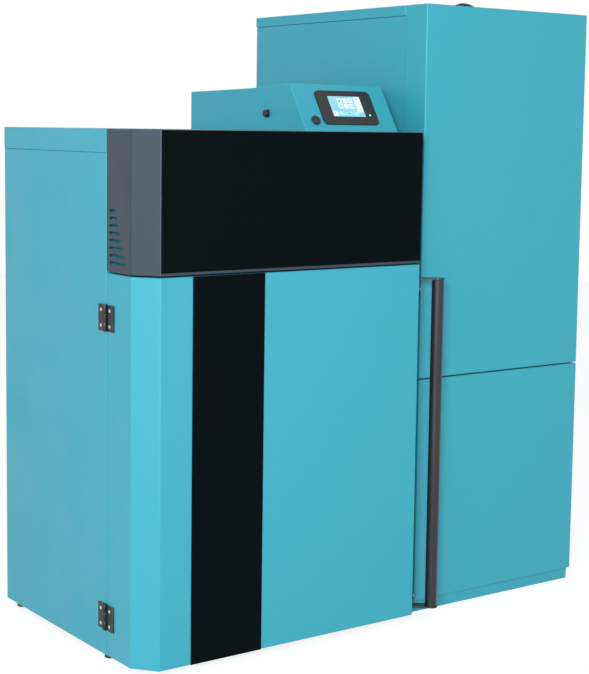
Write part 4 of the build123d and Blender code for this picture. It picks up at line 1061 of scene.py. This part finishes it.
@dataclass
class Door(SubAssembly):
    """Outer door with its black strip and the pieces behind it."""

    bottom: float = 19.0
    gap: float = 3.0
    rim: float = 25.0
    strip_left: float = 126.5
    strip_width: float = 193.5
    strip: float = 2.0

    def build(self) -> None:
        """Build and dress the door."""
        lay = self.layout
        top = lay.hood_bottom - self.gap
        sheet = Sheet("door_shell", lay.front_outline(lay.seam_y - self.gap), (self.bottom, top))
        sheet.rim((0, 0, -1), self.rim, (0, 1, 0))
        sheet.rim((0, 0, 1), self.rim, (0, 1, 0))
        sheet.open((0, 1, 0))
        self.place(sheet.fold(lay.fold, lay.sheet).finish(), "door", TURQUOISE, "outer_door")
        forge = Forge("door_black_strip")
        start = lay.left + self.strip_left
        forge.block(
            (start, lay.front - self.strip, self.bottom),
            (start + self.strip_width, lay.front, top),
        )
        bevel_front(forge, lay.front - self.strip, 1.0)
        self.place(forge.finish(), "door", SATIN_BLACK, "door_strip")
        self.keep(ZINC_SHEET, 0.4, "door_stiffeners")
        self.keep(MAGNET_BLACK, 0.6, "door_magnet")


@dataclass
class Handle(SubAssembly):
    """Upright tube on the sloped right corner of the door."""

    standoff: float = 48.0
    radius: float = 15.0
    wall: float = 2.0
    low: float = 35.0
    high: float = 865.0

    def build(self) -> None:
        """Build and dress the handle."""
        lay = self.layout
        length = math.hypot(lay.corner_width, lay.corner_depth)
        away = Vector((lay.corner_depth / length, -lay.corner_width / length, 0))
        middle = Vector((lay.right - lay.corner_width / 2, lay.front + lay.corner_depth / 2, 0))
        centre = middle + away * self.standoff
        inner = self.radius - self.wall
        lip = 0.6
        profile = [
            (inner, self.low), (self.radius - lip, self.low), (self.radius, self.low + lip),
            (self.radius, self.high - lip), (self.radius - lip, self.high), (inner, self.high),
            (inner, self.low),
        ]
        forge = Forge("handle_bar")
        forge.lathe(profile, centre, Vector((0, 0, 1)), 64)
        self.place(forge.finish(), "door", HANDLE_BLACK, "handle_tube")
        self.keep(HANDLE_BLACK, 0.8, "handle_brackets")


@dataclass
class Hinges(SubAssembly):
    """Door hinges and lid hinges with their pins and screws."""

    def build(self) -> None:
        """Dress the hinges."""
        self.keep(
            HINGE_BLACK, 0.5, "body_hinge_leaves", "door_hinge_leaves", "hinge_pins",
            "tank_hinge_leaves", "lid_hinge_leaves",
        )
        self.keep(SCREW_ZINC, 0.7, "body_hinge_screws", "door_screws")


@dataclass
class Console(SubAssembly):
    """Sloping control console with its screen, lamp, button and cap."""

    left: float = 490.0
    width: float = 282.0
    front: float = 80.0
    peak: float = 152.0
    peak_rise: float = 114.0
    fold_y: float = 319.0
    fold_rise: float = 104.0
    back_y: float = 597.0
    back_rise: float = 98.0
    bezel: Triple = (146.0, 68.5, 4.0)
    bezel_size: Point = (168.0, 96.0)
    bezel_corner: float = 12.0
    screen_size: Point = (98.0, 58.0)
    screen_down: float = 65.0
    button: Point = (37.4, 105.8)
    button_radius: float = 12.0
    lamp: Point = (208.6, 89.9)
    cap: Triple = (241.0, 1269.7, 10.0)

    def build(self) -> None:
        """Build and dress the console."""
        self._housings()
        self._bezel()
        self._screen()
        self._button_and_lamp()
        self._cap()

    @property
    def slope(self) -> float:
        """Lean of the panel from upright."""
        return math.atan2(self.peak - self.front, self.peak_rise)

    def panel(self) -> Matrix:
        """Place of the sloping panel, whose Z points away from it."""
        lay = self.layout
        out = Vector((0, -math.cos(self.slope), math.sin(self.slope)))
        side = Vector((1, 0, 0))
        up = out.cross(side)
        turn = Matrix((side, up, out)).transposed().to_4x4()
        start = (lay.left + self.left, lay.front + self.peak, lay.height + self.peak_rise)
        return Matrix.Translation(start) @ turn

    def _housings(self) -> None:
        """Rear housing and front cover."""
        lay = self.layout
        x = (lay.left + self.left, lay.left + self.left + self.width)
        top = lay.height
        fold = lay.front + self.fold_y
        rear = Sheet("console_housing", [
            (fold, top), (fold, top + self.fold_rise),
            (lay.front + self.back_y, top + self.back_rise), (lay.front + self.back_y, top),
        ], x, Axis.X)
        rear.open((0, 0, -1), (0, -1, 0))
        self.place(
            rear.fold(3.0, lay.sheet).finish(), ROOT_BODY, TURQUOISE, "control_housing"
        )
        cover = Sheet("console_front", [
            (lay.front + self.front, top), (lay.front + self.peak, top + self.peak_rise),
            (fold - lay.gap, top + self.fold_rise), (fold - lay.gap, top),
        ], x, Axis.X)
        cover.open((0, 0, -1), (0, 1, 0))
        place = self.panel()
        reach = self.button_radius - 2.9
        middle = Vector((self.button[0], -self.button[1], 0))
        corners = [
            place @ (middle + Vector((a * reach, b * reach, 0)))
            for a, b in ((-1, -1), (1, -1), (1, 1), (-1, 1))
        ]
        way = (place.to_3x3() @ Vector((0, 0, 1)))
        cover.pierce(way, corners, reach - 0.01)
        self.place(
            cover.fold(3.0, lay.sheet).finish(), ROOT_BODY, TURQUOISE, "console_cover"
        )

    def _bezel(self) -> None:
        """Black frame round the screen."""
        across, down, thick = self.bezel
        half_x, half_y = self.bezel_size[0] / 2, self.bezel_size[1] / 2
        sheet = Sheet("screen_bezel", box_outline((-half_x, half_x), (-half_y, half_y)), (0, thick))
        mesh = sheet.mesh
        corners = [
            e for e in mesh.edges if abs(e.verts[0].co.z - e.verts[1].co.z) > thick / 2
        ]
        sheet.forge.bevel(corners, self.bezel_corner, 8)
        mesh.normal_update()
        shift = down - self.screen_down
        wide, high = self.screen_size[0] / 2 + 0.3, self.screen_size[1] / 2 + 0.3
        loops = []
        for way in (1, -1):
            face = sheet.side((0, 0, way))
            level = face.verts[0].co.z
            bmesh.ops.delete(mesh, geom=[face], context="FACES_ONLY")
            outer = [
                e for e in mesh.edges
                if len(e.link_faces) == 1 and all(abs(v.co.z - level) < 0.01 for v in e.verts)
            ]
            window = bmesh.ops.create_circle(mesh, cap_ends=False, radius=1.0, segments=4)["verts"]
            spots = box_outline((-wide, wide), (shift - high, shift + high))
            for vert, spot in zip(window, spots):
                vert.co = (*spot, level)
            inner = list({e for v in window for e in v.link_edges})
            bmesh.ops.triangle_fill(mesh, edges=outer + inner, use_beauty=True, use_dissolve=False)
            loops.append(inner)
        bmesh.ops.bridge_loops(mesh, edges=loops[0] + loops[1])
        bmesh.ops.recalc_face_normals(mesh, faces=mesh.faces[:])
        mesh.normal_update()
        rounded = [
            e for e in mesh.edges
            if e.calc_face_angle(0.0) > 1.2 and all(abs(v.co.z - thick) < 0.01 for v in e.verts)
        ]
        sheet.forge.bevel(rounded, 0.9, 3)
        place = self.panel() @ Matrix.Translation((across, -down, 0))
        bmesh.ops.transform(mesh, matrix=place, verts=mesh.verts[:])
        self.place(sheet.forge.finish(), ROOT_BODY, BLACK_PLASTIC, "display_bezel")

    def _screen(self) -> None:
        """Lit panel with plain tiles and marks."""
        thick = self.bezel[2] - 0.8
        place = self.panel() @ Matrix.Translation((self.bezel[0], -self.screen_down, 0))
        wide, high = self.screen_size
        panel = Forge("touch_screen")
        panel.block((-wide / 2, -high / 2, 0), (wide / 2, high / 2, thick), 0.3)
        bmesh.ops.transform(panel.mesh, matrix=place, verts=panel.mesh.verts[:])
        self.place(panel.finish(), ROOT_BODY, SCREEN_BLUE, "display_screen")
        tiles = {
            "screen_tiles_white": (TILE_WHITE, (
                (-17, 17, 13, 13), (0, 17, 13, 13), (17, 17, 13, 13), (-17, 1, 13, 13),
                (0, 1, 13, 13), (17, 1, 13, 13), (-40, -20, 14, 13), (38, 6, 17, 44),
            )),
            "screen_tiles_blue": (TILE_BLUE, ((-22, -20, 14, 9), (0, -20, 18, 9), (22, -21, 14, 9))),
            "screen_marks": (GLYPH_DARK, (
                (-17, 16, 4, 5), (-17, 1, 4, 4), (18, 17, 3, 5), (16, 0, 2, 4), (21, 0, 2, 4),
                (0, -20, 12, 2), (38, -8, 8, 1.6), (38, 20, 6, 1.6),
            )),
        }
        for level, (name, (finish, spots)) in enumerate(tiles.items()):
            forge = Forge(name)
            low = thick - 0.05
            for x, y, w, h in spots:
                top = thick + 0.08 + 0.06 * (level == 2)
                forge.block((x - w / 2, y - h / 2, low), (x + w / 2, y + h / 2, top), 0.05)
            bmesh.ops.transform(forge.mesh, matrix=place, verts=forge.mesh.verts[:])
            self.place(forge.finish(), ROOT_BODY, finish)

    def _button_and_lamp(self) -> None:
        """Round push button and the small lamp."""
        out = self.panel().to_3x3() @ Vector((0, 0, 1))
        middle = self.panel() @ Vector((self.button[0], -self.button[1], 0))
        big = self.button_radius
        forge = Forge("push_button")
        forge.lathe([
            (0, -8), (big - 3, -8), (big - 3, 1.8), (big - 0.4, 1.8), (big, 2.2), (big, 4.6),
            (big - 0.4, 5.4), (big - 1.2, 6.0), (big - 2.6, 6.0), (big - 4.0, 5.3), (0, 4.9),
        ], middle, out, 56)
        self.place(forge.finish(40), "button", BLACK_PLASTIC, "power_button")
        level = self.bezel[2]
        spot = self.panel() @ Vector((self.lamp[0], -self.lamp[1], 0))
        lamp = Forge("status_lamp")
        lamp.lathe([
            (0, 0), (2.5, 0), (2.5, level), (2.2, level + 0.35), (1.4, level + 0.55), (0, level + 0.6),
        ], spot, out, 28)
        self.place(lamp.finish(), ROOT_BODY, LAMP_GREEN, "status_light")

    def _cap(self) -> None:
        """Cap of the safety thermostat on the console's left side."""
        lay = self.layout
        y, z, radius = self.cap
        forge = Forge("safety_thermostat_cap")
        forge.lathe([
            (0, 0), (radius, 0), (radius, 1.6), (radius - 0.8, 2.4), (radius - 1.4, 9.4),
            (radius - 2.2, 10.6), (radius - 3.2, 11.0), (0, 11.0),
        ], Vector((lay.left + self.left, lay.front + y, z)), Vector((-1, 0, 0)), 40)
        self.place(forge.finish(), ROOT_BODY, BLACK_PLASTIC, "thermostat_cap")


@dataclass
class PelletTank(SubAssembly):
    """Tall pellet tank with its casing, two front sheets, plinth and lid."""

    post: float = 79.0
    bottom: float = 32.0
    seam: float = 607.0
    seam_gap: float = 3.0
    rim: float = 15.0
    lid_skirt: float = 26.0
    overhang: float = 1.5
    handle_span: float = 112.0
    handle_rise: float = 26.0
    handle_radius: float = 5.0
    handle_setback: float = 178.0
    handle_steps: int = 24
    handle_root: float = 4.0
    handle_floor: float = 1.5
    feed: Point = (400.0, 560.0)
    feed_radius: float = 42.0

    def build(self) -> None:
        """Build and dress the tank."""
        self._shell()
        self._fronts()
        self._lid()
        self._handle()
        self.keep(TURQUOISE, 0.4, "tank_plinth")
        self.keep(ZINC_SHEET, 0.3, "tank_hopper")

    @property
    def x(self) -> Span:
        """Left and right side."""
        start = self.layout.right + self.layout.tank_gap
        return (start, start + self.layout.tank_width)

    @property
    def front(self) -> float:
        """Front face."""
        return self.layout.front + self.layout.tank_setback

    @property
    def post_y(self) -> float:
        """Y at which the casing starts behind the front sheets."""
        return self.front + self.post + self.layout.sheet

    @property
    def back(self) -> float:
        """Back face."""
        return self.front + self.layout.tank_depth

    def _shell(self) -> None:
        """Casing round both sides and the back."""
        lay = self.layout
        top = lay.tank_height - self.lid_skirt
        sheet = Sheet("tank_shell", box_outline(self.x, (self.post_y, self.back)), (self.bottom, top))
        sheet.rim((0, 0, 1), self.rim, (0, -1, 0))
        sheet.rim((0, 0, -1), self.rim, (0, -1, 0))
        sheet.open((0, -1, 0))
        y, z = lay.front + self.feed[0], self.feed[1]
        r = self.feed_radius
        corners = [(self.x[0], a, b) for a, b in box_outline((y - r, y + r), (z - r, z + r))]
        sheet.pierce((-1, 0, 0), corners, r - 0.01)
        self.place(sheet.fold(lay.fold, lay.sheet).finish(), ROOT_BODY, TURQUOISE, "tank_casing")

    def _fronts(self) -> None:
        """Upper and lower front sheets that meet at a seam."""
        lay = self.layout
        outline = box_outline(self.x, (self.front, self.post_y - lay.gap))
        half = self.seam_gap / 2
        upper = Sheet("tank_upper_front", outline, (self.seam + half, lay.tank_height))
        upper.rim((0, 0, -1), self.rim, (0, 1, 0))
        upper.open((0, 1, 0))
        self.place(upper.fold(3.0, lay.sheet).finish(), ROOT_BODY, TURQUOISE, "tank_front_upper")
        lower = Sheet("tank_lower_front", outline, (self.bottom, self.seam - half))
        lower.rim((0, 0, 1), self.rim, (0, 1, 0))
        lower.rim((0, 0, -1), self.rim, (0, 1, 0))
        lower.open((0, 1, 0))
        self.place(lower.fold(3.0, lay.sheet).finish(), ROOT_BODY, TURQUOISE, "tank_front_lower")

    def _lid(self) -> None:
        """Lid with its skirt."""
        lay = self.layout
        x = (self.x[0] - self.overhang, self.x[1] + self.overhang)
        y = (self.post_y + lay.gap, self.back + self.overhang)
        low = lay.tank_height - self.lid_skirt + lay.gap
        sheet = Sheet("tank_cover", box_outline(x, y), (low, lay.tank_height))
        sheet.open((0, 0, -1))
        self.place(sheet.fold(lay.fold, lay.sheet).finish(), "lid", TURQUOISE, "tank_lid")

    def _handle(self) -> None:
        """Arched pull on the lid."""
        lay = self.layout
        middle = sum(self.x) / 2
        y = self.front + self.handle_setback
        half = self.handle_span / 2
        rise = self.handle_rise - self.handle_radius + self.handle_root
        bend = (half * half + rise * rise) / (2 * rise)
        spread = math.asin(half / bend)
        base = lay.tank_height - self.handle_root
        path = []
        for k in range(self.handle_steps + 1):
            turn = -spread + 2 * spread * k / self.handle_steps
            z = max(base + rise - bend + bend * math.cos(turn), lay.tank_height - self.handle_floor)
            path.append(Vector((middle + bend * math.sin(turn), y, z)))
        forge = Forge("lid_pull")
        forge.tube(path, self.handle_radius)
        collar = 1.8 * self.handle_radius
        for side in (-1, 1):
            forge.lathe([
                (0, 0), (collar, 0), (collar, 2.4), (collar - 1.2, 3.8), (0, 4.0),
            ], Vector((middle + side * half, y, lay.tank_height)), Vector((0, 0, 1)), 32)
        self.place(forge.finish(), "lid", BLACK_PLASTIC, "lid_handle")


@dataclass
class Inside(SubAssembly):
    """Vessel, burner, conveyor, fan and water connections."""

    def build(self) -> None:
        """Dress the inner and rear pieces."""
        self.keep(VESSEL_BLACK, 0.0, "boiler_vessel", "base_frame", "flue_tubes")
        self.keep(WOOL, 0.0, "vessel_insulation")
        self.keep(CAST_BLACK, 1.2, "chamber_door", "ash_door")
        self.keep(
            PLAIN_STEEL, 0.4, "inner_door_latches", "ash_box", "turbulator_beam", "burner_body",
            "burner_grate",
        )
        self.keep(PLAIN_STEEL, 0.0, "turbulators", "auger_screw")
        self.keep(ZINC_SHEET, 0.4, "auger_tube", "smoke_box_cover", "flue_duct")
        self.keep(FAN_ALUMINIUM, 0.8, "exhaust_fan_housing", "exhaust_fan_impeller")
        self.keep(MOTOR_GREY, 0.8, "exhaust_fan_motor", "auger_gear_motor", "cleaning_actuator")
        self.keep(FLUE_STEEL, 0.4, "flue_spigot")
        self.keep(SOCKET_STEEL, 0.6, "heating_sockets")
        self.keep(DRAIN_BRASS, 0.6, "drain_socket")


@dataclass(frozen=True)
class Lamp:
    """One square soft light, in watts and metres."""

    name: str
    energy: float
    place: Triple
    size: float
    aim: Triple

    def build(self) -> None:
        """Make the light and point it at its spot."""
        data = bpy.data.lights.new(self.name, "AREA")
        data.energy = self.energy
        data.size = self.size
        lamp = bpy.data.objects.new(self.name, data)
        lamp.location = self.place
        way = Vector(self.aim) - Vector(self.place)
        lamp.rotation_euler = way.to_track_quat("-Z", "Y").to_euler()
        bpy.context.scene.collection.objects.link(lamp)


LAMPS = (
    Lamp("key_light", 620.0, (-5.5, -6.1, 2.7), 2.4, (-0.3, -0.3, 0.8)),
    Lamp("side_light", 10.0, (-4.4, -1.7, 1.1), 1.4, (-0.6, -0.3, 0.7)),
    Lamp("front_light", 14.0, (0.6, -4.2, 1.2), 1.0, (-0.5, -0.4, 0.7)),
)


@dataclass
class Studio:
    """Floor, light and camera."""

    camera_place: Triple = (-2.371731, -3.302543, 1.236151)
    yaw: float = 0.6254432
    pitch: float = 0.1018567
    roll: float = 0.0133108
    focal_pixels: float = 1541.337
    centre: Point = (294.5, 285.0)
    picture: tuple[int, int] = (589, 674)
    sensor: float = 36.0
    world_strength: float = 0.46
    floor_share: float = 0.3

    def build(self) -> None:
        """Build the studio."""
        self._world()
        self._floor()
        for lamp in LAMPS:
            lamp.build()
        self._camera()

    @staticmethod
    def _seen(tree: bpy.types.NodeTree) -> bpy.types.NodeSocket:
        """One where a camera, mirror or glass ray looks, zero for light rays."""
        path = add_node(tree, "ShaderNodeLightPath")
        first = add_node(tree, "ShaderNodeMath", operation="MAXIMUM")
        second = add_node(tree, "ShaderNodeMath", operation="MAXIMUM")
        tree.links.new(path.outputs["Is Camera Ray"], first.inputs[0])
        tree.links.new(path.outputs["Is Glossy Ray"], first.inputs[1])
        tree.links.new(first.outputs[0], second.inputs[0])
        tree.links.new(path.outputs["Is Transmission Ray"], second.inputs[1])
        return second.outputs[0]

    def _world(self) -> None:
        """White to look at, and a soft even light."""
        world = bpy.data.worlds.new("studio_world")
        bpy.context.scene.world = world
        world.use_nodes = True
        tree = world.node_tree
        light = tree.nodes["Background"]
        light.inputs["Color"].default_value = (0.93, 0.97, 1.0, 1.0)
        light.inputs["Strength"].default_value = self.world_strength
        white = add_node(tree, "ShaderNodeBackground")
        white.inputs["Color"].default_value = (1.0, 1.0, 1.0, 1.0)
        white.inputs["Strength"].default_value = 1.0
        mixer = add_node(tree, "ShaderNodeMixShader")
        tree.links.new(self._seen(tree), mixer.inputs[0])
        tree.links.new(light.outputs[0], mixer.inputs[1])
        tree.links.new(white.outputs[0], mixer.inputs[2])
        tree.links.new(mixer.outputs[0], tree.nodes["World Output"].inputs["Surface"])

    def _floor(self) -> None:
        """Plain pale floor that keeps the shadow."""
        forge = Forge("studio_floor")
        bmesh.ops.create_circle(forge.mesh, cap_ends=True, radius=9000.0, segments=96)
        bmesh.ops.translate(forge.mesh, verts=forge.mesh.verts[:], vec=(0, 0, -0.3))
        floor = forge.finish()
        made = bpy.data.materials.new("pale_floor")
        made.use_nodes = True
        tree = made.node_tree
        tree.nodes.remove(tree.nodes["Principled BSDF"])
        matt = add_node(tree, "ShaderNodeBsdfDiffuse")
        matt.inputs["Color"].default_value = (self.floor_share,) * 3 + (1.0,)
        glow = add_node(tree, "ShaderNodeEmission")
        glow.inputs["Color"].default_value = (1.0, 1.0, 1.0, 1.0)
        glow.inputs["Strength"].default_value = 1.0 - self.floor_share * 0.62
        both = add_node(tree, "ShaderNodeAddShader")
        tree.links.new(matt.outputs[0], both.inputs[0])
        tree.links.new(glow.outputs[0], both.inputs[1])
        plain = add_node(tree, "ShaderNodeBsdfDiffuse")
        plain.inputs["Color"].default_value = (0.75, 0.75, 0.75, 1.0)
        mixer = add_node(tree, "ShaderNodeMixShader")
        tree.links.new(self._seen(tree), mixer.inputs[0])
        tree.links.new(plain.outputs[0], mixer.inputs[1])
        tree.links.new(both.outputs[0], mixer.inputs[2])
        tree.links.new(mixer.outputs[0], tree.nodes["Material Output"].inputs["Surface"])
        floor.data.materials.append(made)

    def _camera(self) -> None:
        """Camera at the photograph's viewing angle."""
        ahead = Vector((
            math.sin(self.yaw) * math.cos(self.pitch), math.cos(self.yaw) * math.cos(self.pitch),
            -math.sin(self.pitch),
        ))
        level = Vector((math.cos(self.yaw), -math.sin(self.yaw), 0))
        upright = level.cross(ahead)
        side = level * math.cos(self.roll) + upright * math.sin(self.roll)
        up = upright * math.cos(self.roll) - level * math.sin(self.roll)
        data = bpy.data.cameras.new("photo_camera")
        longest = max(self.picture)
        data.sensor_fit = "AUTO"
        data.sensor_width = self.sensor
        data.lens = self.focal_pixels * self.sensor / longest
        data.shift_x = (self.picture[0] / 2 - self.centre[0]) / longest
        data.shift_y = (self.centre[1] - self.picture[1] / 2) / longest
        data.dof.use_dof = False
        data.clip_end = 60.0
        camera = bpy.data.objects.new("photo_camera", data)
        turn = Matrix((side, up, -ahead)).transposed().to_4x4()
        camera.matrix_world = Matrix.Translation(self.camera_place) @ turn
        bpy.context.scene.collection.objects.link(camera)
        bpy.context.scene.camera = camera


def main() -> None:
    """Build every sub-assembly in order."""
    logging.basicConfig(level=logging.INFO, format="%(message)s")
    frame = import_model()
    layout = Layout()
    wardrobe = Wardrobe()
    for kind in (BoilerCasing, Hood, Door, Handle, Hinges, Console, PelletTank, Inside):
        part = kind(layout, wardrobe, frame)
        part.build()
        log.info("%s has %d pieces", kind.__name__, len(part.pieces))
    Studio().build()
    bpy.context.scene.view_settings.view_transform = "Standard"


if __name__ == "__main__":
    main()
